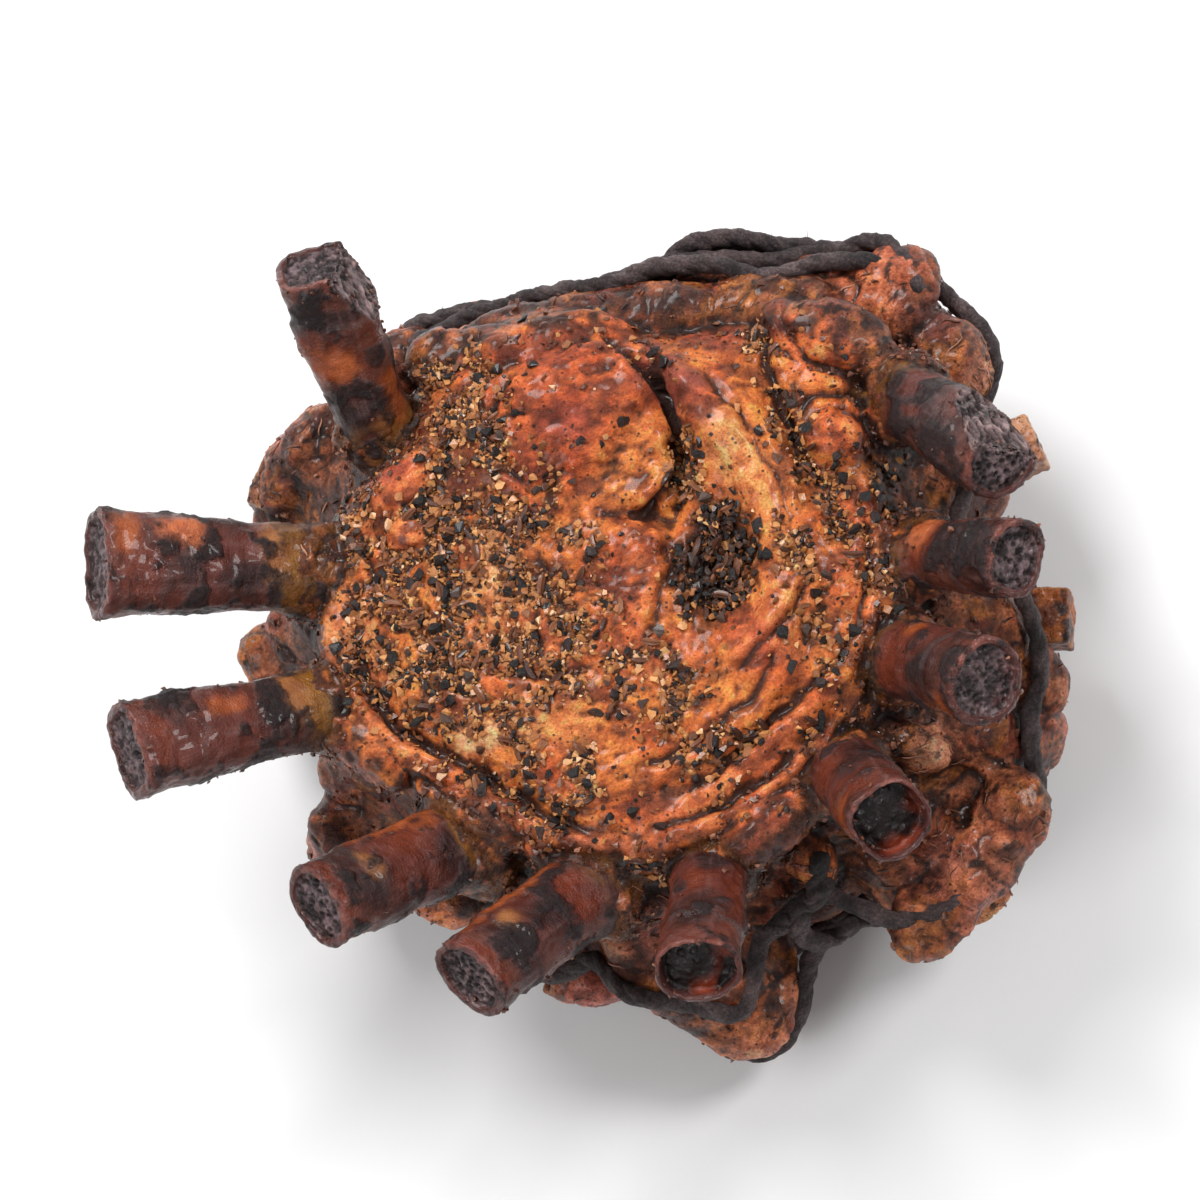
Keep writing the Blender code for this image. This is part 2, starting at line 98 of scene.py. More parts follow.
BONES = {
    "rib_1": ((-57, 43, 70), (-63, 73, 104), (10.0, 8.8), (9.5, 8.5)),
    "rib_2": ((-75, 9, 70), (-115.5, 6, 100), (12.6, 7.8), (11.0, 8.0)),
    "rib_3": ((-70, -24, 68), (-107, -37.5, 100), (10.8, 7.8), (10.2, 8.0)),
    "rib_4": ((-38, -57, 66), (-62.5, -74, 99), (9.8, 7.4), (13.0, 9.0)),
    "rib_5": ((-7, -68, 66), (-28, -90.5, 97), (9.8, 7.6), (12.2, 9.0)),
    "rib_6": ((22, -64, 66), (24, -90, 102), (9.2, 7.8), (10.0, 8.4)),
    "rib_7": ((53, -42, 68), (67, -58, 102), (8.6, 8.4), (10.5, 8.8)),
    "rib_8": ((67, -17, 70), (88, -28, 101), (9.4, 8.8), (10.5, 8.8)),
    "rib_9": ((72, 6, 72), (95, 0, 98), (8.6, 7.2), (9.0, 8.0)),
    "rib_10": ((68, 43, 70), (93, 22, 102), (10.0, 8.4), (10.0, 8.6)),
}
BONE_SEAT = 13
BONE_WAIST = 0.9
SAW_CUTS = {
    "rib_1": ((-52.5, 66, 96), (0.86, 0.36, 0.36)),
    "rib_10": ((88, 31, 98), (0.52, 0.62, 0.59)),
}
CHINE_BLOCKS = {
    "chine_1": (23, 97.5, 35, (12, 12, 14)),
    "chine_2": (-1, 96, 30, (13, 12, 15)),
    "chine_3": (158, 98, 30, (13, 12, 13)),
    "chine_4": (185, 93, 25, (12, 12, 14)),
    "chine_5": (121, 88, 21, (13, 12, 13)),
    "chine_6": (-103, 85, 20, (12, 12, 13)),
}
TWINE_LOOPS = {
    "twine_upper": (
        15, 15, 15, 16, 24, 35.5, 45, 40, 46, 47, 41, 43, 52, 51, 47, 49, 55, 59, 60, 56, 52, 42, 22, 15,
    ),
    "twine_middle": (
        9.5, 9.5, 9.5, 9.5, 9.5, 9.5, 10, 16, 26, 22, 14, 13,
        13, 13, 17, 33, 48, 54, 55, 51, 46, 32, 14, 10,
    ),
    "twine_lower": (
        4.5, 4.5, 4.5, 4.5, 4.5, 4.5, 4.5, 5, 6, 5, 5, 5, 5, 5, 6, 14, 40, 49, 50, 46, 38, 20, 7, 5,
    ),
}
TWINE_TAUT = (35, 128)
TWINE_PULL = 0.55
TWINE_SAG = 6
TWINE_RADIUS = 2.1

# ---- what only the looks have ----
VOXEL = 0.68  # spacing of the meat's mesh
WIDE_ROUNDS, FINE_ROUNDS = 30, 5  # rounds of easing that show broad and fine hollows
TWINE_PITCH = 17  # length of one full turn of the plies
FIBRE_COUNT, RIB_CRUMBS = 420, 95
FLOOR_HALF = 4000
GAIN, CONTRAST = 1.24, 1.2  # last step of the meat's colour
# Lumps of meat, fat and gristle joined to the form: middle, half sizes, turn about Z.
LUMPS = [
    ((-12, 41, 72), (25, 22, 14.5), 25),  # the large lobe
    ((-40, 57, 72), (9, 8, 9), 0),
    ((-46, 28, 77.5), (13, 6.6, 7), 45),  # finger-like nodules
    ((-47, 14.5, 77), (6.6, 6, 6), 0),
    ((2, 3, 74.5), (13, 18, 7.5), -3),  # the reddish lobe beside the well
    ((52, 34, 77), (7, 6.4, 5.5), 0),  # knuckle on the right
    ((50, 58, 71.5), (17, 10, 9), -12),
    ((34, -56, 71), (17, 7, 8), 34),
    ((14, -57, 71), (16, 6, 7), 12),
    ((-58, -34, 70), (13, 6.5, 7.5), -48),
    ((-34, -50, 70.5), (16, 6, 7.5), -33),
    ((-8, -61, 69), (15, 5.6, 7), -14),
    ((-64, -6, 70), (6, 13, 7), 0),
    ((64, 3, 70), (6, 16, 7), 0),
    ((87.5, -50.5, 44), (9, 13, 6.5), -30),
    ((79.6, -62.2, 43.5), (9, 13, 6.5), -38),
    ((70, -72.6, 43), (9, 12, 6), -46),
    ((92, -30, 26), (7, 10, 13), -15),
    ((23, -96, 22), (9.5, 7, 11), 0),
    ((20, -88, 36), (8, 6, 8), 0),
    ((-12, -85, 26), (12, 5.5, 7), 4),
    ((-75, -50, 30), (8, 10, 13), 30),
    ((-94, -5, 26), (8, 9, 11), 0),
    ((-88, 39, 28), (10, 15, 14), -25),
    ((-80, 45, 35), (9, 13, 14), -30),
    ((-57, 66, 38), (10, 8, 12), 0),
    ((-44, -66, 46), (9, 7, 10), 0),
    ((62, 71, 56), (14, 11, 9), 45),
    ((76, 58, 50), (9, 12, 11), 40),
    ((-17, 57, 71), (23, 11, 11), 4),
    ((-18, 66, 60), (24, 8, 11), 8),
    ((10, 67, 63), (22, 9, 10), -2),
    ((36, 68, 62), (18, 9, 10), -4),
    ((50, 74, 54), (14, 8, 9), -20),
    ((40, -57, 53), (11, 6, 11), -55),
    ((7, -70, 57), (10, 5, 7), 0),
    ((-20, -74, 50), (9, 6, 8), 0),
    ((64, -33, 54), (12, 7, 12), -27),
    ((58, -49, 52), (13, 7, 13), -40),
]
# Sharp folds of the top: way, groove width, groove depth, and height of the lip on its left.
TOP_FOLDS = [
    ([(3, 17.8), (9, 18), (14.6, 25), (15.4, 34), (12.5, 44), (6, 54), (-4, 62)], 1.15, 3.3, 1.5),
    ([(5, -14), (10, -10), (12.8, -2), (13.4, 8), (13, 15)], 1.2, 1.5, 0.8),
    ([(53, 24), (58.5, 14), (60, 3), (57, -10), (51, -20), (43, -27), (34, -35), (25, -43), (14, -50)],
     0.8, 2.0, 0.9),
    ([(41, -14), (35, -24), (25, -33), (13, -40), (3, -43)], 0.8, 1.3, 0.9),
    ([(64, -6), (61, -22), (53, -34), (43, -44), (30, -52)], 0.8, 1.4, 0.8),
    ([(45, -36), (35, -45), (22, -52), (10, -56)], 0.8, 1.6, 0.9),
    ([(36, 62), (37, 50), (41, 39), (46, 29), (51, 20)], 0.9, 2.2, 0.8),
    ([(20, 55), (26, 46), (33, 36), (39, 25), (43, 13)], 0.9, 1.0, 1.0),
    ([(62, 40), (55, 44), (47, 43), (44, 36)], 0.8, 1.6, 0.7),
    ([(40, 66), (42, 58), (48, 51), (58, 49)], 0.8, 1.5, 0.7),
    ([(2, -56.5), (-10, -54), (-23, -47), (-35, -39), (-48, -32), (-57, -22), (-61, -9)], 0.9, 2.2, 1.2),
    ([(-26, -56), (-36, -48), (-49, -41)], 0.7, 1.0, 0.6),
    ([(-16, 22), (-24, 30), (-27, 41), (-22, 51)], 0.9, 1.4, 0.8),
    ([(-34, -14), (-24, -19), (-12, -20), (-2, -17)], 0.9, 1.2, 0.7),
    ([(-17, 12), (-15, 2), (-17, -8), (-14, -17)], 0.9, 1.3, 0.8),
    ([(-45, 3), (-43, -8), (-36, -20), (-28, -27)], 0.8, 1.1, 0.6),
    ([(26, -22), (36, -15), (44, -5), (46, 8)], 0.8, 1.3, 0.9),
    ([(-60, 12), (-55, 3), (-55, -6)], 0.8, 1.2, 0.6),
]
# Colour zones of the top: x, y, half length, half width, turn, linear colour, strength.
TOP_ZONES = [
    (-11, 42, 27, 24, 25, (0.42, 0.098, 0.036), 0.8),
    (6, 29, 13, 9, 70, (0.78, 0.29, 0.085), 0.95),
    (2, 42, 9, 14, 20, (0.52, 0.145, 0.05), 0.5),
    (-8, 38, 9, 6, 0, (0.3, 0.072, 0.046), 0.75),
    (-15, 58, 12, 5, 10, (0.33, 0.085, 0.042), 0.6),
    (-36, 58, 10, 6, 30, (0.1, 0.032, 0.02), 0.7),
    (5, 3, 11, 15, 0, (0.36, 0.105, 0.044), 0.7),
    (12, -16, 10, 8, 0, (0.46, 0.135, 0.055), 0.6),
    (31, 27, 6.5, 15, 28, (0.62, 0.27, 0.115), 1.2),
    (35, 14, 9, 20, 12, (0.62, 0.22, 0.075), 0.8),
    (15, 47, 7, 14, 42, (0.155, 0.044, 0.034), 0.9),
    (40, -8, 9, 12, 0, (0.55, 0.19, 0.07), 0.7),
    (34, -14, 10, 7, -20, (0.33, 0.085, 0.046), 0.6),
    (50, 55, 13, 9, -15, (0.56, 0.165, 0.058), 1.0),
    (56, 58, 4, 3, 0, (0.13, 0.036, 0.035), 0.85),
    (43.5, 36, 3.5, 9, -15, (0.055, 0.02, 0.012), 0.9),
    (-23.5, -6.5, 7, 6, 0, (0.6, 0.24, 0.1), 1.15),
    (-60, -10, 6, 12, 0, (0.5, 0.195, 0.085), 1.15),
    (-33, 28, 9, 9, 0, (0.1, 0.036, 0.02), 0.7),
    (28, 61, 16, 7, 0, (0.2, 0.052, 0.03), 0.8),
    (53, 33, 7, 6, 0, (0.5, 0.15, 0.055), 0.8),
    (57, 5, 8, 22, 0, (0.44, 0.125, 0.052), 0.5),
    (-48, 26, 11, 7, 55, (0.42, 0.125, 0.05), 0.9),
    (-47, 14, 6, 5, 0, (0.5, 0.16, 0.06), 0.9),
    (-51, 30, 5, 4, 0, (0.25, 0.055, 0.04), 0.7),
    (-31, -1, 7, 7, 0, (0.58, 0.25, 0.1), 0.8),
    (-27.6, 13, 5, 4, 0, (0.6, 0.29, 0.15), 1.3),
    (-26.4, 2.8, 4.5, 5, 0, (0.58, 0.27, 0.13), 1.2),
    (-29.4, -13.8, 6, 4.5, 20, (0.58, 0.27, 0.13), 1.2),
    (-18.4, -30.6, 5, 4, 0, (0.58, 0.27, 0.13), 1.2),
    (-23, -11, 13, 8, 20, (0.52, 0.18, 0.075), 0.7),
    (-30.4, -33.4, 7, 5, 10, (0.6, 0.3, 0.155), 1.3),
    (-12, -30, 12, 7, -20, (0.58, 0.225, 0.09), 0.6),
    (-64, -6, 6, 14, 0, (0.48, 0.185, 0.085), 0.7),
    (-66, 5, 4, 6, 0, (0.56, 0.24, 0.085), 0.7),
    (-57, -24, 6, 12, 35, (0.36, 0.125, 0.06), 0.6),
    (-50, -34, 11, 5, -40, (0.46, 0.16, 0.062), 0.8),
    (-26, -52, 14, 5, -30, (0.26, 0.092, 0.052), 0.8),
    (-2, -60, 12, 5, -12, (0.3, 0.105, 0.056), 0.8),
    (20, -50, 20, 8, 25, (0.44, 0.14, 0.058), 0.7),
    (42, -38, 14, 8, 40, (0.45, 0.135, 0.055), 0.6),
    (38, -52, 10, 5, 35, (0.33, 0.095, 0.05), 0.7),
    (-44, 40, 12, 10, 0, (0.2, 0.07, 0.036), 0.6),
]
# Colour of the wall's lumps: middle, radius, linear colour, strength.
WALL_ZONES = [
    ((84, -50, 42), 11, (0.4, 0.16, 0.085), 0.8),
    ((86, -47, 42), 8, (0.12, 0.048, 0.034), 0.8),
    ((76, -66, 38), 14, (0.3, 0.115, 0.08), 0.8),
    ((84, -72, 30), 6, (0.52, 0.23, 0.08), 0.8),
    ((97, -25, 22), 9, (0.27, 0.11, 0.085), 0.8),
    ((23, -98, 20), 11, (0.4, 0.165, 0.1), 1.0),
    ((20, -90, 34), 9, (0.38, 0.14, 0.05), 0.7),
    ((-12, -87, 26), 12, (0.28, 0.1, 0.076), 0.8),
    ((-79, -52, 30), 9, (0.38, 0.165, 0.14), 0.8),
    ((-98, -5, 25), 8, (0.52, 0.21, 0.11), 0.8),
    ((-96, 42, 26), 10, (0.4, 0.17, 0.11), 0.8),
    ((-86, 49, 36), 9, (0.42, 0.16, 0.09), 0.7),
    ((-60, 73, 38), 7, (0.4, 0.15, 0.11), 0.7),
    ((-46, -71, 46), 8, (0.46, 0.14, 0.035), 0.85),
    ((62, 72, 58), 13, (0.34, 0.115, 0.058), 0.7),
    ((72, 66, 55), 9, (0.085, 0.033, 0.028), 0.9),
    ((79, 51, 46), 13, (0.6, 0.27, 0.16), 1.0),
    ((72, -36, 60), 8, (0.5, 0.23, 0.14), 0.8),
    ((45, -66, 58), 8, (0.42, 0.14, 0.045), 0.7),
    ((8, -76, 56), 9, (0.34, 0.135, 0.11), 0.7),
]
# Spice on the top: x, y, half length, half width, turn, grains, pepper, seeds.
SPICE_ZONES = [
    (-30, 2, 24, 37, 8, 1.35, 0.85, 1.1),
    (-40, -18, 14, 17, 0, 0.9, 1.1, 0.6),
    (-32, 40, 11, 16, 20, 1.3, 0.9, 0.8),
    (-40, 54, 11, 10, 0, 0.9, 1.0, 0.1),
    (-21, 47, 9, 8, 0, 0.15, 0.6, 0.2),
    (25, 5, 8.5, 13.5, -6, 1.3, 3.8, 1.8),
    (18, 28, 4.5, 8, 0, 1.3, 0.9, 0.8),
    (36, 52, 4.5, 11, 22, 0.6, 1.0, 0.4),
    (44, 34, 6, 11, 18, 1.1, 1.0, 1.0),
    (55, 12, 6, 14, 14, 0.9, 0.9, 0.7),
    (44, 6, 6, 15, 0, 0.8, 0.4, 0.5),
    (50, -12, 6, 13, -10, 0.6, 0.7, 0.7),
    (26, -37, 10, 6, 20, 1.0, 1.0, 1.6),
    (10, -24, 12, 10, 0, 0.8, 0.6, 0.8),
    (-6, -12, 10, 13, 0, 1.0, 0.6, 0.8),
    (-9, 12, 8, 8, 0, 0.7, 0.6, 0.4),
    (-13, -43, 14, 9, 0, 0.8, 0.8, 0.6),
    (-23, -49, 18, 5, -30, 1.0, 0.7, 0.8),
    (2, -65, 11, 3.5, -4, 0.8, 1.3, 0.6),
    (22, -47, 8, 5, 0, 0.15, 0.5, 0.1),
    (-64, 17, 9, 11, 0, 1.1, 0.9, 0.2),
    (-55, -10, 9, 18, 0, 0.8, 0.9, 0.2),
    (62, -8, 5, 14, 0, 0.5, 0.7, 0.2),
    (63, 20, 4, 12, 0, 0.5, 1.0, 0.2),
    (50, -38, 7, 8, 40, 0.3, 0.5, 0.2),
    (0, 70, 26, 5, 0, 0.2, 0.35, 0.0),
    (44, 66, 20, 6, -10, 0.3, 0.35, 0.1),
]
# Where no grain lies: x, y, half length, half width, turn.
BARE_ZONES = [
    (-3, 42, 14, 17, 20), (31, 27, 4, 12, 28), (-48, 26, 10, 5, 55), (-47, 14, 5, 4, 0),
    (53, 33, 6, 5, 0), (50, 58, 10, 6, -15), (7, 4, 5, 11, 0), (-20, 58, 9, 5, 10), (36, -52, 12, 4, 35),
    (-52, -36, 11, 4, -45), (-28, -51, 12, 3.5, -33), (-31, -1, 4, 4, 0), (-28, -35, 4, 3, 0),
]
# Colours of the granules that are relief of the top, from dark to pale.
GRANULE_TONES = [(0.02, 0.011, 0.008), (0.24, 0.085, 0.03), (0.62, 0.26, 0.085), (0.95, 0.52, 0.22)]
# Where paler grains lie: x, y, reach.
PALE_GRAINS = [(-13, -10, 7), (4, -12, 6), (10, -20, 4), (-9, -36, 6), (-22, 18, 4), (19, 24, 5)]
CRUMB_COUNT = 2600

# ---- noise: lasting random numbers and directions ----
LATTICE = np.random.default_rng(5).permutation(256)
LEANS = np.random.default_rng(6).normal(size=(256, 3))
LEANS /= np.linalg.norm(LEANS, axis=1)[:, None]


def corner(cell):
    """A lasting number from 0 to 255 for each whole-number place."""
    x, y, z = (cell & 255).T
    return LATTICE[(LATTICE[(LATTICE[x] + y) & 255] + z) & 255]


def noise(points, seed=0):
    """Smooth noise of about -1 to 1 at each point."""
    points = np.asarray(points, float) + seed * 17.31
    cell = np.floor(points).astype(int)
    part = points - cell
    ease = part**3 * (part * (part * 6 - 15) + 10)
    total = np.zeros(len(points))
    for step in np.ndindex(2, 2, 2):
        lean = LEANS[corner(cell + step)]
        weight = np.prod(np.where(step, ease, 1 - ease), axis=1)
        total += np.sum(lean * (part - step), axis=1) * weight
    return total * 1.7


def rough(points, octaves=3, seed=0):
    """Noise with finer and fainter noise on it."""
    total, size = 0, 1
    for k in range(octaves):
        total = total + noise(np.asarray(points) * 2.03**k, seed + 11 * k) * size
        size *= 0.5
    return total


def cells(points, seed=0):
    """Distance to the nearest scattered point, gap to the second, and its number from 0 to 1."""
    points = np.asarray(points, float) + seed * 9.7
    cell = np.floor(points).astype(int)
    first = np.full(len(points), 9.0)
    second = np.full(len(points), 9.0)
    number = np.zeros(len(points))
    for step in np.ndindex(3, 3, 3):
        near = cell + np.array(step) - 1
        mark = corner(near)
        place = near + 0.5 + LEANS[mark] * 0.42
        d = np.linalg.norm(points - place, axis=1)
        closer = d < first
        second = np.where(closer, first, np.minimum(second, d))
        number = np.where(closer, mark / 255, number)
        first = np.where(closer, d, first)
    return first, second - first, number


# ---- form ----
def smooth_path(points, share):
    """Points at these shares of the way along a smooth curve through the given points."""
    points = np.asarray(points, float)
    count = len(points) - 1
    at = np.clip(np.asarray(share, float), 0, 1) * count
    i = np.minimum(at.astype(int), count - 1)
    t = (at - i)[..., None]
    before, here = points[np.maximum(i - 1, 0)], points[i]
    after, beyond = points[i + 1], points[np.minimum(i + 2, count)]
    return 0.5 * (
        2 * here
        + (after - before) * t
        + (2 * before - 5 * here + 4 * after - beyond) * t**2
        + (3 * here - before - 3 * after + beyond) * t**3
    )


def along_line(x, y, line, even=False):
    """Distance from each (x, y) to a broken line, the share of the way there, and 1 on its left."""
    line = np.asarray(line, float)
    lengths = np.hypot(*np.diff(line, axis=0).T)
    steps = np.ones(len(lengths)) if even else lengths
    starts = np.concatenate([[0], np.cumsum(steps)])
    best = np.full(np.shape(x), np.inf)
    share, side = np.zeros(np.shape(x)), np.ones(np.shape(x))
    for k, (a, b) in enumerate(zip(line[:-1], line[1:])):
        t = ((x - a[0]) * (b[0] - a[0]) + (y - a[1]) * (b[1] - a[1])) / lengths[k] ** 2
        t = np.clip(t, 0, 1)
        d = np.hypot(x - a[0] - t * (b[0] - a[0]), y - a[1] - t * (b[1] - a[1]))
        across = (b[0] - a[0]) * (y - a[1]) - (b[1] - a[1]) * (x - a[0])
        side = np.where(d < best, np.sign(across), side)
        share = np.where(d < best, (starts[k] + t * steps[k]) / starts[-1], share)
        best = np.minimum(best, d)
    return best, share, side


def angle_between(a, b):
    """How far a is past b, from -180 to 180 degrees."""
    return (np.asarray(a) - b + 180) % 360 - 180


def bell(x):
    return np.exp(-np.square(x))


def ramp(x, low, high):
    """0 below low, 1 above high, smooth between."""
    t = np.clip((x - low) / (high - low), 0, 1)
    return t * t * (3 - 2 * t)


def taper(share):
    return np.clip(np.minimum(share, 1 - share) * 8, 0, 1) ** 0.7


def patch(x, y, cx, cy, length, width, turn):
    """Squared distance of each (x, y) from the middle of a turned oval; 1 is on its edge."""
    c, s = math.cos(math.radians(turn)), math.sin(math.radians(turn))
    u, v = (x - cx) * c + (y - cy) * s, (y - cy) * c - (x - cx) * s
    return (u / length) ** 2 + (v / width) ** 2


def well_share(x, y):
    """1 in the well, 0 outside it."""
    return np.exp(-(patch(x, y, *WELL) ** 1.6))


def wall_radius(azimuth, z, section_radius):
    """Radius of the wall with its rib segments, blended into the plain section."""
    total = np.exp(section_radius / BLEND)
    for head, foot, half_width in SEGMENTS.values():
        turn = angle_between(foot[0], head[0])
        down = np.clip((head[2] - z) / (head[2] - foot[2]), 0, 1)
        middle = head[0] + turn * down
        radius = head[1] + (foot[1] - head[1]) * down + FOOT_BULGE * np.sin(np.pi * down) * down
        under = np.clip((foot[2] - z) / foot[2], 0, 1)
        radius = radius - (foot[1] - UNDER_RADIUS) * under**UNDER_CURVE
        above = np.clip((z - head[2]) / 10, 0, 1)
        across = np.radians(angle_between(azimuth, middle)) * radius / half_width
        rib = radius - half_width * 0.6 * np.abs(across) ** 2.6 - 9 * above
        total = total + np.exp(np.maximum(rib, 40) / BLEND)
    return BLEND * np.log(total)


def top_relief(x, y):
    """Height of the swirl's lobes, ridges, furrows and well above the section."""
    lift = np.zeros(np.shape(x))
    for *place, height in TOP_SWELLS:
        lift += height * bell(patch(x, y, *place))
    for lines, sign in ((TOP_RIDGES, 1), (TOP_CREASES, -1)):
        for points, width, height in lines:
            d, share, _ = along_line(x, y, points)
            lift += sign * height * bell(d / width) * taper(share)
    return lift - WELL_DEPTH * well_share(x, y)


def meat_points(azimuth, share):
    """Points of the meat's surface at an azimuth in degrees and a share of its half section."""
    section = smooth_path(SECTION, share)
    radius, z = section[..., 0], section[..., 1]
    swell = np.zeros(np.shape(azimuth))
    for middle, reach, half_angle in RIM_SWELLS:
        swell = swell + reach * bell(angle_between(azimuth, middle) / half_angle)
    plain = radius + swell * np.clip(radius / 66, 0, 1) ** 2 * np.clip(z / 50, 0, 1)
    on_wall = np.clip((share - RIM_AT) / 0.06, 0, 1) * np.clip((BASE_AT + 0.06 - share) / 0.06, 0, 1)
    radius = plain + (wall_radius(azimuth, z, plain) - plain) * on_wall
    x, y = radius * np.cos(np.radians(azimuth)), radius * np.sin(np.radians(azimuth))
    on_top = np.clip((RIM_AT + 0.04 - share) / 0.08, 0, 1)
    return np.stack([x, y, z + top_relief(x, y) * on_top], -1)


def bone_frame(foot, tip):
    """The bone's own axes: across its width, through its thickness (down), and along it."""
    along = (Vector(tip) - Vector(foot)).normalized()
    across = along.cross(Vector((0, 0, 1))).normalized()
    return np.array(across), np.array(along.cross(across)), np.array(along)


# ---- meshes and materials ----
def mesh_object(name, points, faces, smooth=True):
    """A new mesh object from points in millimetres."""
    mesh = bpy.data.meshes.new(name)
    mesh.from_pydata((np.asarray(points) * MM).tolist(), [], [list(map(int, face)) for face in faces])
    if smooth:
        mesh.shade_smooth()
    mesh.update()
    made = bpy.data.objects.new(name, mesh)
    bpy.context.scene.collection.objects.link(made)
    return made


def read(parts, what, width):
    """One row of numbers for each vertex or face."""
    values = np.empty(len(parts) * width)
    parts.foreach_get(what, values)
    return values.reshape(-1, width)


def paint(made, **layers):
    """Puts a number or a colour on each point of a mesh."""
    for name, values in layers.items():
        values = np.asarray(values, float)
        if values.ndim == 2:
            layer = made.data.color_attributes.new(name, "FLOAT_COLOR", "POINT")
            rgba = np.concatenate([np.clip(values, 0, 1), np.ones((len(values), 1))], 1)
            layer.data.foreach_set("color", rgba.ravel())
        else:
            layer = made.data.attributes.new(name, "FLOAT", "POINT")
            layer.data.foreach_set("value", np.clip(values, 0, 1))


def grid_faces(rows, columns, closed=True):
    """Faces of a grid whose columns run round and close."""
    r, c = np.meshgrid(np.arange(rows - 1), np.arange(columns if closed else columns - 1), indexing="ij")
    n = (c + 1) % columns
    quads = [r * columns + c, r * columns + n, (r + 1) * columns + n, (r + 1) * columns + c]
    return np.stack(quads, -1).reshape(-1, 4)


def closed_grid(points, columns, ends):
    """A grid that closes round, with a fan to a point at each end."""
    first, last = len(points), len(points) - columns
    faces = grid_faces(len(points) // columns, columns).tolist()
    for k in range(columns):
        n = (k + 1) % columns
        faces += [[first, n, k], [first + 1, last + k, last + n]]
    return np.concatenate([points, ends]), faces


def tube_triangles(rows, sides):
    """Triangles of a thin tube with flat ends."""
    quads = grid_faces(rows, sides)
    last = (rows - 1) * sides
    caps = [[0, k + 1, k] for k in range(1, sides - 1)]
    caps += [[last, last + k, last + k + 1] for k in range(1, sides - 1)]
    return np.concatenate([quads[:, [0, 1, 2]], quads[:, [0, 2, 3]], np.array(caps)])


def ball(steps):
    """A unit ball of triangles."""
    bm = bmesh.new()
    bmesh.ops.create_icosphere(bm, subdivisions=steps, radius=1)
    points = np.array([v.co for v in bm.verts])
    faces = np.array([[v.index for v in f.verts] for f in bm.faces])
    bm.free()
    return points, faces


class Recipe:
    """A material written as a short list of nodes."""

    def __init__(self, name):
        self.material = bpy.data.materials.new(name)
        self.material.use_nodes = True
        self.tree = self.material.node_tree
        self.shader = self.tree.nodes["Principled BSDF"]
        self.place = self.add("ShaderNodeTexCoord").outputs["Object"]

    def add(self, kind, settings=None, **inputs):
        made = self.tree.nodes.new(kind)
        for key, value in (settings or {}).items():
            setattr(made, key, value)
        for key, value in inputs.items():
            self.put(made, key.replace("_", " "), value)
        return made

    def put(self, made, key, value):
        socket = made.inputs[int(key)] if key.isdigit() else made.inputs[key]
        if isinstance(value, bpy.types.NodeSocket):
            self.tree.links.new(value, socket)
        else:
            socket.default_value = value

    def layer(self, name, colour=False):
        """What paint() put on the points."""
        found = self.add("ShaderNodeAttribute", {"attribute_name": name})
        return found.outputs["Color" if colour else "Fac"]

    def noise(self, scale, detail=3.0, rough=0.6, vector=None, warp=0.0):
        made = self.add("ShaderNodeTexNoise", Scale=scale, Detail=detail, Roughness=rough, Distortion=warp)
        self.put(made, "Vector", vector or self.place)
        return made.outputs["Fac"]

    def cells(self, scale):
        return self.add("ShaderNodeTexVoronoi", Scale=scale, Vector=self.place).outputs["Distance"]

    def stretch(self, factors):
        return self.add("ShaderNodeMapping", Vector=self.place, Scale=factors).outputs["Vector"]

    def range(self, value, low, high, to_low=0.0, to_high=1.0):
        made = self.add("ShaderNodeMapRange", {"interpolation_type": "SMOOTHSTEP"}, Value=value)
        for key, number in (("From Min", low), ("From Max", high), ("To Min", to_low), ("To Max", to_high)):
            self.put(made, key, number)
        return made.outputs["Result"]

    def math(self, how, a, b):
        made = self.add("ShaderNodeMath", {"operation": how})
        self.put(made, "0", a)
        self.put(made, "1", b)
        return made.outputs[0]

    def times(self, a, b):
        return self.math("MULTIPLY", a, b)

    def tint(self, share, colour, factor):
        """The colour times a factor where the share is 1."""
        return self.mix(share, colour, factor, "MULTIPLY")

    def mix(self, share, a, b, how="MIX"):
        made = self.add("ShaderNodeMix", {"data_type": "RGBA", "blend_type": how})
        self.put(made, "0", share)
        for key, value in (("6", a), ("7", b)):
            self.put(made, key, value if isinstance(value, bpy.types.NodeSocket) else (*value, 1))
        return made.outputs[2]

    def steps(self, value, *stops):
        """A colour ramp through (place, colour) stops."""
        made = self.add("ShaderNodeValToRGB", Fac=value)
        elements = made.color_ramp.elements
        while len(elements) < len(stops):
            elements.new(0.5)
        for element, (place, colour) in zip(elements, stops):
            element.position = place
            element.color = (*colour, 1)
        return made.outputs["Color"]

    def bump(self, *heights):
        """Small relief: each entry is a height and its depth in metres."""
        normal = None
        for height, depth in heights:
            made = self.add("ShaderNodeBump", Strength=1.0, Distance=depth, Height=height)
            if normal:
                self.put(made, "Normal", normal)
            normal = made.outputs["Normal"]
        return normal

    def finish(self, **inputs):
        for key, value in inputs.items():
            key = key.replace("_", " ")
            if not isinstance(value, bpy.types.NodeSocket) and isinstance(value, tuple):
                value = (*value, 1) if len(value) == 3 and "Radius" not in key else value
            self.put(self.shader, key, value)
        return self.material


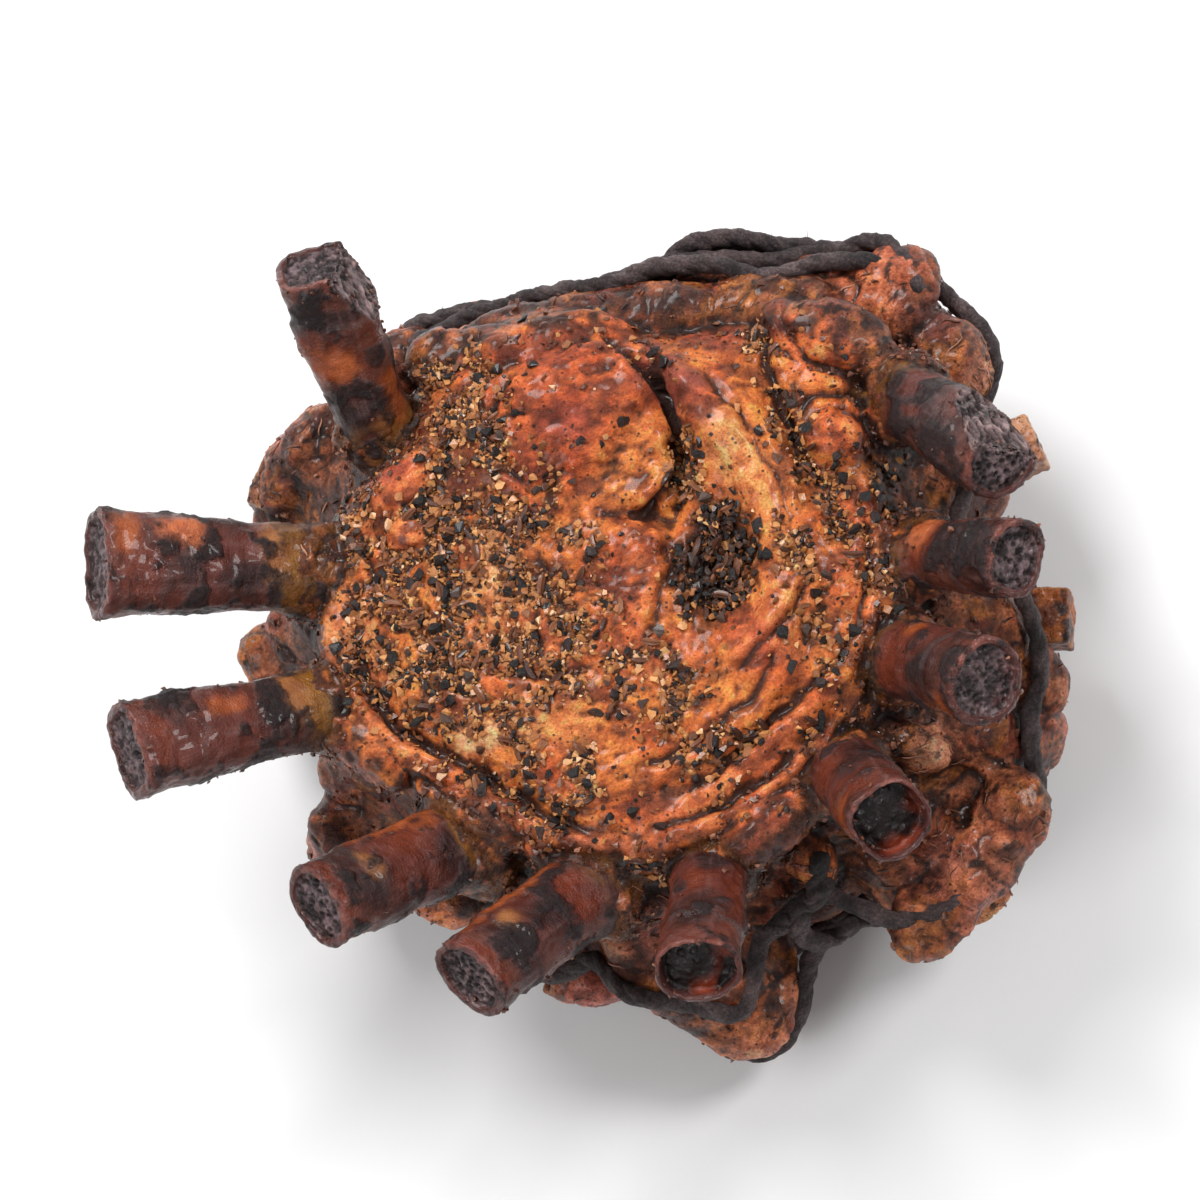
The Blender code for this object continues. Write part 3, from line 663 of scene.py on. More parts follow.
def meat_material():
    r = Recipe("roast meat")
    tone = r.layer("tone", colour=True)
    spice, shine, wall = r.layer("spice"), r.layer("shine"), r.layer("wall")
    blotch = r.noise(170, 4, 0.6)
    colour = r.tint(r.range(blotch, 0.4, 0.66, 0.0, 0.7), tone, (0.62, 0.44, 0.34))
    light = r.range(r.noise(420, 5, 0.7), 0.5, 0.7, 0.0, 0.5)
    colour = r.tint(light, colour, (1.25, 1.35, 1.2))
    grain = r.noise(1.0, 3, 0.65, r.stretch((620, 620, 200)), 1.5)
    streak = r.times(r.range(grain, 0.42, 0.66, 0.0, 0.75), wall)
    colour = r.tint(streak, colour, (0.45, 0.32, 0.26))
    fine = r.noise(1500, 4, 0.7)
    colour = r.tint(r.range(fine, 0.44, 0.62, 0.0, 0.6), colour, (0.55, 0.38, 0.28))
    # Ground spice too small to stand up: dark and amber specks.
    dots = r.cells(620)
    speck = r.range(dots, 0.18, 0.28, 1.0, 0.0)
    thin = r.range(r.noise(330, 2, 0.5), 0.47, 0.57)
    speck = r.times(speck, r.math("MAXIMUM", thin, r.range(spice, 0.25, 0.9, 0.0, 0.9)))
    colour = r.mix(r.times(speck, 0.85), colour, (0.03, 0.012, 0.009))
    dust = r.range(r.cells(1250), 0.18, 0.3, 1.0, 0.0)
    dust = r.times(dust, r.range(spice, 0.3, 0.9, 0.0, 0.7))
    colour = r.mix(dust, colour, (0.42, 0.17, 0.055))
    relief = r.bump(
        (r.noise(700, 6, 0.72), 0.0011),
        (r.times(grain, r.range(wall, 0, 1, 0.35, 1)), 0.0006),
        (r.noise(2600, 3, 0.6), 0.00032),
    )
    polish = r.math("SUBTRACT", r.range(blotch, 0.3, 0.7, 0.58, 0.4), r.times(shine, 0.22))
    return r.finish(
        Base_Color=colour, Roughness=polish, Normal=relief, IOR=1.4, Subsurface_Weight=0.1,
        Subsurface_Radius=(0.9, 0.3, 0.1), Subsurface_Scale=0.002, Coat_Weight=0.26, Coat_Roughness=0.2,
    )


def bone_material():
    r = Recipe("roast bone")
    tone, soot, shine = r.layer("tone", colour=True), r.layer("soot"), r.layer("shine")
    blotch = r.noise(200, 4, 0.6)
    colour = r.tint(r.range(blotch, 0.42, 0.66, 0.0, 0.6), tone, (0.55, 0.38, 0.34))
    crust = r.noise(800, 5, 0.7)
    colour = r.mix(r.times(r.range(crust, 0.42, 0.6), soot), colour, (0.016, 0.01, 0.011))
    lines = r.noise(1.0, 3, 0.6, r.stretch((420, 420, 900)))
    colour = r.tint(r.range(lines, 0.48, 0.68, 0.0, 0.35), colour, (0.55, 0.42, 0.38))
    speck = r.range(r.cells(1100), 0.14, 0.24, 1.0, 0.0)
    speck = r.times(speck, r.range(r.noise(260, 2, 0.5), 0.52, 0.62))
    colour = r.mix(r.times(speck, 0.8), colour, (0.014, 0.01, 0.01))
    relief = r.bump(
        (r.times(crust, r.range(soot, 0, 1, 0.12, 1.0)), 0.0012),
        (lines, 0.00035),
        (r.noise(1900, 3, 0.6), 0.0003),
    )
    polish = r.range(shine, 0.0, 1.0, 0.66, 0.06)
    polish = r.math("ADD", polish, r.range(crust, 0.4, 0.65, -0.02, 0.08))
    return r.finish(
        Base_Color=colour, Roughness=polish, Normal=relief, IOR=1.38, Subsurface_Weight=0.08,
        Subsurface_Radius=(1.0, 0.25, 0.08), Subsurface_Scale=0.002, Coat_Weight=0.16, Coat_Roughness=0.1,
    )


def chine_material():
    r = Recipe("sawn chine")
    tone, soot = r.layer("tone", colour=True), r.layer("soot")
    blotch = r.noise(200, 4, 0.6)
    colour = r.tint(r.range(blotch, 0.4, 0.65, 0.0, 0.6), tone, (0.6, 0.42, 0.32))
    pores = r.range(r.cells(1500), 0.12, 0.34, 1.0, 0.0)
    colour = r.mix(r.times(pores, 0.55), colour, (0.06, 0.022, 0.014))
    crust = r.noise(700, 5, 0.7)
    colour = r.mix(r.times(r.range(crust, 0.44, 0.56), soot), colour, (0.02, 0.011, 0.01))
    saw = r.noise(1.0, 2, 0.5, r.stretch((200, 200, 2600)))
    relief = r.bump((crust, 0.0007), (pores, 0.0004), (saw, 0.00025))
    return r.finish(
        Base_Color=colour, Roughness=r.range(blotch, 0.35, 0.65, 0.55, 0.32), Normal=relief, IOR=1.45,
        Subsurface_Weight=0.1, Subsurface_Radius=(1.0, 0.35, 0.12), Subsurface_Scale=0.002,
        Coat_Weight=0.25, Coat_Roughness=0.2,
    )


def twine_material():
    r = Recipe("charred twine")
    fuzz = r.noise(1500, 5, 0.75)
    stain = r.noise(120, 4, 0.6)
    colour = r.steps(
        r.math("ADD", r.times(fuzz, 0.55), r.times(stain, 0.45)),
        (0.4, (0.011, 0.007, 0.007)), (0.49, (0.048, 0.029, 0.03)), (0.58, (0.13, 0.082, 0.08)),
        (0.68, (0.32, 0.215, 0.2)),
    )
    relief = r.bump((fuzz, 0.0011), (r.noise(3600, 3, 0.6), 0.0003))
    return r.finish(
        Base_Color=colour, Roughness=r.range(stain, 0.35, 0.65, 0.75, 0.5), Normal=relief,
        Specular_IOR_Level=0.35, Sheen_Weight=0.08, Sheen_Roughness=0.5, Coat_Weight=0.05,
        Coat_Roughness=0.35,
    )


def grain_material(name, stops, roughness, coat, bump, glow):
    """A finish for scattered pieces, coloured by each piece's own shade."""
    r = Recipe(name)
    shade = r.layer("shade")
    fine = r.noise(1600, 4, 0.65)
    mixed = r.math("ADD", r.times(shade, 0.86), r.times(fine, 0.14))
    return r.finish(
        Base_Color=r.steps(mixed, *stops), Roughness=r.range(fine, 0.35, 0.65, *roughness),
        Normal=r.bump((fine, bump)), IOR=1.45, Subsurface_Weight=glow, Subsurface_Radius=(0.9, 0.4, 0.16),
        Subsurface_Scale=0.0012, Coat_Weight=coat, Coat_Roughness=0.15,
    )


# ---- the meat ----
def measured(points):
    """x, y, z, azimuth and radius of each point, and 1 on the top or 0 on the wall."""
    x, y, z = points.T
    azimuth = np.degrees(np.arctan2(y, x))
    radius = np.hypot(x, y)
    edge = np.interp(azimuth, RIM_ANGLES, RIM_RADII, period=360)
    top = ramp(z, 57, 66) * ramp(edge - radius, -10, -3)
    return x, y, z, azimuth, radius, top


RIM_ANGLES = np.arange(-180.0, 180.0, 2)
RIM_RADII = np.hypot(*meat_points(RIM_ANGLES, np.full(180, RIM_AT - 0.05)).T[:2])


def spice_amount(points, which):
    """How thickly the top carries grains (0), pepper (1) or seeds (2) at each point."""
    x, y, *_, top = measured(points)
    amount = np.zeros(len(points))
    for zone in SPICE_ZONES:
        amount = np.maximum(amount, zone[5 + which] * bell(patch(x, y, *zone[:5]) ** 0.9))
    bare = np.zeros(len(points))
    for zone in BARE_ZONES:
        bare = np.maximum(bare, bell(patch(x, y, *zone) ** 1.5))
    amount = amount * (1 - 0.92 * bare)
    clumps = ramp(rough(points / 7.5, 3, 40) + 0.35 * rough(points / 4, 2, 41 + which), -0.3, 0.5)
    return amount * (0.17 + 0.98 * clumps) * top


def bone_distance(points):
    """Distance of each point from the nearest bone's axis, from its root outward."""
    best = np.full(len(points), 99.0)
    for foot, tip, _, foot_half in BONES.values():
        foot, tip = np.array(foot, float), np.array(tip, float)
        t = np.clip((points - foot) @ (tip - foot) / np.sum((tip - foot) ** 2), -0.25, 1)
        d = np.linalg.norm(points - foot - t[:, None] * (tip - foot), axis=1)
        best = np.minimum(best, d - foot_half[0])
    return best


def meat_form():
    """The meat, its lumps and the collars of its bones, joined into one skin."""
    azimuth, share = np.meshgrid(np.arange(0, 360, 0.9), np.linspace(0, 1, 250)[1:-1], indexing="xy")
    points = meat_points(azimuth, share)
    ends = [[0, 0, points[0, :, 2].mean()], [0, 0, 0]]
    skin, all_faces = closed_grid(points.reshape(-1, 3), share.shape[1], ends)
    all_points = [skin]
    unit, triangles = ball(5)

    def join(form):
        all_faces.extend((triangles + sum(map(len, all_points))).tolist())
        all_points.append(form)

    for k, (middle, half, turn) in enumerate(LUMPS):
        lump = unit * (1 + 0.13 * rough(unit * 0.9, 2, 100 + k)[:, None]) * half
        c, s = math.cos(math.radians(turn)), math.sin(math.radians(turn))
        join(lump @ np.array([[c, s, 0], [-s, c, 0], [0, 0, 1]]) + middle)
    for k, (foot, tip, _, foot_half) in enumerate(BONES.values()):
        across, through, along = bone_frame(foot, tip)
        collar = unit * (1 + 0.16 * rough(unit * 2.2, 3, 150 + k)[:, None])
        join(
            np.array(foot) - along * 3
            + np.outer(collar[:, 0], across) * (foot_half[0] + 1.5)
            + np.outer(collar[:, 1], through) * (foot_half[1] + 1.3)
            + np.outer(collar[:, 2], along) * 13
        )
    meat = mesh_object("roast_meat", np.concatenate(all_points), all_faces)
    joined = meat.modifiers.new("joined", "REMESH")
    joined.mode = "VOXEL"
    joined.voxel_size = VOXEL * MM
    joined.use_smooth_shade = True
    eased = meat.modifiers.new("eased", "SMOOTH")
    eased.factor = 0.5
    eased.iterations = 8
    bpy.context.view_layer.update()
    seen = meat.evaluated_get(bpy.context.evaluated_depsgraph_get())
    result = bpy.data.meshes.new_from_object(seen)
    meat.modifiers.clear()
    meat.data = result
    return meat


def move_to(mesh, points):
    """Puts the mesh's points at these places in millimetres."""
    mesh.vertices.foreach_set("co", (points * MM).ravel())
    mesh.update()


def eased_points(mesh, points, rounds):
    """The points, each drawn to the middle of its neighbours this many times."""
    ends = np.empty(len(mesh.edges) * 2, np.int32)
    mesh.edges.foreach_get("vertices", ends)
    a, b = ends.reshape(-1, 2).T
    count = len(points)
    links = np.bincount(a, minlength=count) + np.bincount(b, minlength=count)
    eased = points.T.copy()
    for _ in range(rounds):
        sums = [np.bincount(a, row[b], count) + np.bincount(b, row[a], count) for row in eased]
        eased = np.stack(sums) / links
    return eased.T


def hollows(mesh, points, rounds):
    """How deep each point lies in a hollow, in millimetres; below 0 on a ridge."""
    toward = eased_points(mesh, points, rounds) - points
    return np.sum(toward * read(mesh.vertices, "normal", 3), axis=1)


def make_meat(finish):
    """The meat with its fine relief, its folds and its colour layers."""
    meat = meat_form()
    points = read(meat.data.vertices, "co", 3) / MM
    on_wall = (1 - measured(points)[5]) * ramp(points[:, 2], 2, 8)
    soft = eased_points(meat.data, points, WIDE_ROUNDS)
    softer = eased_points(meat.data, soft, WIDE_ROUNDS)
    points += (2 * soft - softer - points) * on_wall[:, None]
    move_to(meat.data, points)
    normals = read(meat.data.vertices, "normal", 3)
    x, y, z, azimuth, radius, top = measured(points)
    grains, pepper = spice_amount(points, 0), spice_amount(points, 1)
    spice = np.clip(grains + 0.5 * pepper, 0, 1)
    wall = 1 - top
    in_well = well_share(x, y) * top
    near_bone = bone_distance(points)
    turn = np.radians(azimuth)
    bent = radius + 5 * rough(points / 16, 2, 13)
    ring = np.stack([bent / 1.5, 9 * np.cos(turn), 9 * np.sin(turn)], -1)
    wide_ring = np.stack([bent / 5.5, 4 * np.cos(turn), 4 * np.sin(turn)], -1)
    sway = turn + 0.045 * rough(points / 8, 2, 14)
    strands = rough(np.stack([(radius - z) / 11, 30 * np.cos(sway), 30 * np.sin(sway)], -1), 3, 3)
    lift = rough(points / 11, 2, 1) * (0.7 * top + 1.3 * wall)
    lift += rough(points / 2.4, 3, 2) * (0.21 - 0.07 * wall)
    lift += rough(wide_ring, 2, 9) * 0.4 * top * (1 - 0.6 * spice)
    lift += rough(ring, 3, 4) * 0.2 * top * (1 - spice)
    lift += (1 - np.abs(strands) * 2.2) * 0.26 * wall
    pebbles, gaps, kinds = cells(points / 2.3, 5)
    crust = ramp(spice, 0.22, 0.55) * top
    lift += (0.5 - pebbles) * 1.7 * crust
    folded = np.zeros(len(points))
    on_top = np.flatnonzero(top > 0.01)
    bent_x = x[on_top] + noise(points[on_top] / 6, 6) * 1.1
    bent_y = y[on_top] + noise(points[on_top] / 6, 7) * 1.1
    for way, width, depth, lip in TOP_FOLDS:
        line = smooth_path(way, np.linspace(0, 1, 5 * len(way)))
        d, share, side = along_line(bent_x, bent_y, line, even=True)
        wider, shallower = (1.5, 0.75) if depth < 3 else (1, 1)
        fade = ramp(np.minimum(share, 1 - share) + 0.05 * noise(points[on_top] / 5, 12), 0.0, 0.24)
        groove = bell(d / (width * wider)) * fade
        raised = lip * bell((d - 2.6) / 2.1) * (d * side > 0) * fade
        lift[on_top] += (raised - depth * shallower * groove) * top[on_top]
        folded[on_top] = np.maximum(folded[on_top], bell(d / (width * 1.15)) * fade * min(1, depth / 3.3))
    lift += 4.5 * in_well * (1 - folded)
    lift -= 0.9 * bell(near_bone / 1.6) * top
    folds = np.abs(rough(points / np.array([19, 19, 30.0]), 2, 8))
    lift -= 0.5 * bell(folds / 0.08) * wall * (z > 4)
    points = points + normals * lift[:, None]
    points[:, 2] = np.where(points[:, 2] < BASE_FLAT, 0, points[:, 2])
    points[:, 2] = np.where(z < 0.8, 0, points[:, 2])
    move_to(meat.data, points)
    hollow = hollows(meat.data, points, WIDE_ROUNDS)
    fine_hollow = hollows(meat.data, points, FINE_ROUNDS)

    # Colour: the top's own zones, the wall's browns, then painted shade in hollows and folds, a painted
    # highlight on ridges, and soot round the bones.
    mottle = rough(points / 9, 4, 20)
    colour = laid_over(
        lerp((0.82, 0.285, 0.075), (0.5, 0.155, 0.046), ramp(mottle, -0.05, 0.6)),
        ((0.6, 0.145, 0.048), ramp(rough(points / 14, 3, 21), 0.05, 0.5) * 0.7),
        ((0.66, 0.275, 0.09), spice * 0.6),
    )
    wobble = rough(points / 5, 3, 22) * 0.32
    pale = np.zeros(len(points))
    for cx, cy, length, width, angle, shade, strength in TOP_ZONES:
        reach = np.sqrt(patch(x, y, cx, cy, length, width, angle)) + wobble
        bright = np.array(shade) * min(1.25 if cy > 20 and -30 < cx < 10 else 1.75, 1 / max(shade))
        colour = lerp(colour, bright, np.minimum(strength, 1) * ramp(reach, 1.25, 0.45) * (1 - 0.4 * spice))
        pale = np.maximum(pale, ramp(reach, 1.1, 0.5) * (strength > 1.1))
    granules = np.array(GRANULE_TONES)[np.digitize(kinds, (0.22, 0.5, 0.8))]
    granules = lerp(granules, (0.045, 0.016, 0.009), ramp(gaps, 0.24, 0.03))
    glaze = np.maximum(0.8 * ramp(spice, 0.5, 0.95), 0.55 * ramp(pepper, 0.35, 0.9))
    colour = lerp(colour, (0.115, 0.04, 0.019), glaze * (1 - pale))
    colour = colour + (granules - colour) * (0.66 * crust * (1 - 0.75 * pale))[:, None]
    colour *= (1 + 0.5 * np.clip(rough(points / 3.2, 3, 35), -0.8, 0.9))[:, None]
    stain = ramp(rough(points / np.array([9, 5, 9.0]), 3, 37), 0.05, 0.5) * top * (1 - pale)
    dark_lines = ramp(rough(ring * 0.8, 3, 33), 0.25, 0.6) * 0.45 * (1 - spice)
    colour = laid_over(
        colour,
        ((0.16, 0.04, 0.02), 0.72 * stain),
        ((0.24, 0.062, 0.028), dark_lines * top),
        # the well: dark of its packed pepper, with painted shade of its depth
        ((0.022, 0.01, 0.007), 0.95 * ramp(in_well, 0.1, 0.6)),
        # painted shade in the grooves of the top's folds, darker where they are deeper
        ((0.028, 0.008, 0.005), 0.93 * folded),
    )
    bark = laid_over(
        lerp((0.44, 0.17, 0.08), (0.13, 0.047, 0.031), ramp(rough(points / 9, 4, 25), -0.15, 0.4)),
        ((0.32, 0.085, 0.048), ramp(rough(points / 12, 3, 26), 0.1, 0.45) * 0.7),
        ((0.74, 0.36, 0.2), ramp(strands, 0.25, 0.6) * 0.3),
        ((0.1, 0.036, 0.022), ramp(strands, -0.25, -0.6) * 0.4),
        ((0.055, 0.021, 0.015), ramp(rough(points / 8, 3, 38), 0.05, 0.5) * 0.7),
        ((0.5, 0.205, 0.05), ramp(rough(points / 10, 3, 34), 0.22, 0.5) * 0.7),
    )
    near_wobble = rough(points / 4, 2, 27) * 0.3
    for middle, reach, shade, strength in WALL_ZONES:
        d = np.linalg.norm(points - np.array(middle), axis=1) / reach + near_wobble
        bark = lerp(bark, np.array(shade) * min(2.3, 0.92 / max(shade)), strength * ramp(d, 1.3, 0.5))
    bark = laid_over(
        bark,
        # painted shade in the wall's grooves
        ((0.06, 0.024, 0.015), 0.4 * bell(folds / 0.07)),
        ((0.03, 0.014, 0.011), ramp(rough(points / 3.2, 2, 28), 0.42, 0.62) * 0.85),
    )
    bark *= (1 + 0.45 * np.clip(rough(points / 3.4, 3, 36), -0.8, 0.9))[:, None]
    # Painted shade: the wall and the top darkened in broad hollows.
    bark = lerp(bark, (0.02, 0.01, 0.008), 0.9 * ramp(hollow, 0.12, 0.9))
    colour = lerp(colour, (0.065, 0.022, 0.012), 0.75 * ramp(hollow, 0.08, 0.6))
    colour = lerp(bark, colour, top)
    # Painted shade in fine hollows, and a painted highlight that lightens fine ridges.
    colour = lerp(colour, (0.055, 0.02, 0.012), 0.6 * ramp(fine_hollow, 0.05, 0.25))
    colour *= (1 + 0.3 * ramp(-fine_hollow, 0.03, 0.2))[:, None]
    rim = bell((radius - 5 - np.interp(azimuth, RIM_ANGLES, RIM_RADII, period=360)) / 4) * ramp(z, 52, 62)
    sooty = rim * ramp(rough(points / 6, 3, 29), -0.25, 0.3) * 0.88
    sooty = np.maximum(sooty, 0.9 * bell(near_bone / 3.4) * ramp(rough(points / 4, 3, 30), -0.4, 0.25))
    amber = ramp(2.5 - near_bone, 0, 2.5) * ramp(rough(points / 6, 2, 31), 0.0, 0.35)
    colour = laid_over(
        colour,
        ((0.036, 0.015, 0.01), sooty),
        ((0.24, 0.095, 0.014), amber * 0.7),
        # darker towards the bottom, over its lowest 3 mm
        ((0.1, 0.038, 0.022), ramp(z, 3, 0)),
    )
    colour = GAIN * np.clip(colour, 0, 1) ** CONTRAST
    shine = np.clip(amber + 0.7 * ramp(rough(points / 6, 2, 32), 0.0, 0.5) * wall + 0.4 * top, 0, 1)
    paint(meat, tone=colour, spice=spice * top, shine=shine, wall=wall)
    dress(meat, finish, "roast_meat", "meat")
    return meat


def lerp(a, b, share):
    """a where the share is 0 and b where it is 1."""
    a, b = np.asarray(a), np.asarray(b)
    return a + (b - a) * np.asarray(share)[:, None]


def laid_over(colour, *layers):
    """The colour with each layer's colour over it, by that layer's share."""
    for shade, share in layers:
        colour = lerp(colour, shade, share)
    return colour


def dress(piece, finish, slot, *nodes):
    """The piece's material and body, and the CAD nodes that it replaces, hidden; the slot is not used."""
    piece.data.materials.clear()
    piece.data.materials.append(finish)
    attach(piece, "root")
    if nodes:
        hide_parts(*nodes)


# ---- the bones ----
# Looks of each rib: how square its section is, how sooty, how glossy its marrow, and its
# patches: share of its length, angle round it (-90 is its upper side), half sizes, colour.
AMBER, ORANGE = (0.62, 0.165, 0.055), (0.36, 0.085, 0.022)
RED, TAN = (0.165, 0.034, 0.017), (0.34, 0.13, 0.04)
HAZE, MAROON, OLIVE = (0.028, 0.011, 0.011), (0.12, 0.027, 0.018), (0.26, 0.105, 0.012)
BONE_LOOKS = {
    "rib_1": (3.4, 0.4, 0.1, [
        (0.68, -140, 0.2, 80, RED), (0.64, -110, 0.11, 40, ORANGE),
        (0.62, -96, 0.07, 20, AMBER), (0.84, -120, 0.05, 90, HAZE),
        (0.38, -100, 0.14, 80, HAZE), (0.3, -40, 0.1, 40, TAN), (0.4, -30, 0.16, 30, ORANGE),
    ]),
    "rib_2": (3.0, 0.4, 0.05, [
        (0.66, -95, 0.4, 90, MAROON), (0.7, -95, 0.1, 30, HAZE), (0.55, -34, 0.16, 18, HAZE),
        (0.46, -118, 0.14, 30, HAZE), (0.9, -100, 0.06, 40, RED), (0.715, -60, 0.11, 20, AMBER),
        (0.3, -95, 0.07, 90, OLIVE), (0.36, -80, 0.06, 60, TAN), (0.93, -60, 0.06, 30, ORANGE),
    ]),
    "rib_3": (2.9, 0.4, 0.05, [
        (0.7, -110, 0.34, 80, MAROON), (0.86, -60, 0.07, 26, HAZE), (0.42, -95, 0.12, 40, HAZE),
        (0.64, -70, 0.14, 22, RED), (0.65, -72, 0.09, 14, ORANGE), (0.29, -80, 0.07, 90, OLIVE),
        (0.92, -95, 0.06, 60, RED), (0.36, -70, 0.06, 50, TAN),
    ]),
    "rib_4": (2.2, 0.3, 0.08, [
        (0.55, -88, 0.3, 80, MAROON), (0.82, -95, 0.12, 60, HAZE), (0.36, -110, 0.12, 40, HAZE),
        (0.56, -70, 0.12, 22, RED), (0.55, -30, 0.26, 16, ORANGE), (0.78, -80, 0.05, 24, TAN),
        (0.29, -95, 0.05, 60, OLIVE), (0.97, -70, 0.04, 70, RED), (0.42, -56, 0.07, 16, ORANGE),
    ]),
    "rib_5": (2.2, 0.3, 0.08, [
        (0.6, -95, 0.34, 80, MAROON), (0.6, -95, 0.14, 46, HAZE), (0.84, -100, 0.1, 50, HAZE),
        (0.6, -30, 0.34, 15, ORANGE), (0.42, -80, 0.1, 22, RED), (0.97, -90, 0.04, 70, RED),
        (0.76, -70, 0.05, 20, TAN), (0.46, -120, 0.08, 26, RED),
    ]),
    "rib_6": (2.4, 0.16, 0.95, [
        (0.6, -90, 0.44, 90, MAROON), (0.66, -150, 0.3, 24, RED), (0.78, -92, 0.14, 50, HAZE),
        (0.5, -80, 0.14, 26, RED), (0.4, -100, 0.1, 40, HAZE), (0.7, -30, 0.34, 16, RED),
    ]),
    "rib_7": (2.6, 0.2, 0.95, [
        (0.62, -90, 0.4, 90, MAROON), (0.6, -125, 0.22, 40, HAZE), (0.84, -70, 0.1, 50, RED),
        (0.5, -60, 0.12, 40, RED), (0.88, 0, 0.1, 60, ORANGE), (0.66, -90, 0.1, 30, HAZE),
    ]),
    "rib_8": (2.2, 0.4, 0.3, [
        (0.5, -90, 0.34, 90, MAROON), (0.5, -110, 0.14, 40, RED), (0.85, 10, 0.14, 50, ORANGE),
        (0.42, -60, 0.12, 40, RED), (0.72, -70, 0.14, 50, HAZE), (0.48, -130, 0.08, 18, ORANGE),
    ]),
    "rib_9": (2.6, 0.55, 0.1, [
        (0.5, -100, 0.2, 70, MAROON), (0.46, -100, 0.14, 44, RED), (0.4, -125, 0.12, 40, AMBER),
        (0.7, -80, 0.14, 60, HAZE), (0.9, -90, 0.12, 90, HAZE),
    ]),
    "rib_10": (2.3, 0.55, 0.05, [
        (0.6, -90, 0.34, 90, HAZE), (0.52, -70, 0.08, 14, RED), (0.4, -120, 0.12, 40, MAROON),
        (0.74, -120, 0.14, 30, MAROON),
    ]),
}
BONE_RINGS, BONE_SIDES = 92, 104
RIM_WALL = 1.3
# Marrow face colours, dry and wet; the rim colour is the painted highlight on the lip's upper side.
FACE_TONES = {"dry": (0.23, 0.155, 0.165), "wet": (0.006, 0.002, 0.002), "rim": (0.22, 0.068, 0.048)}


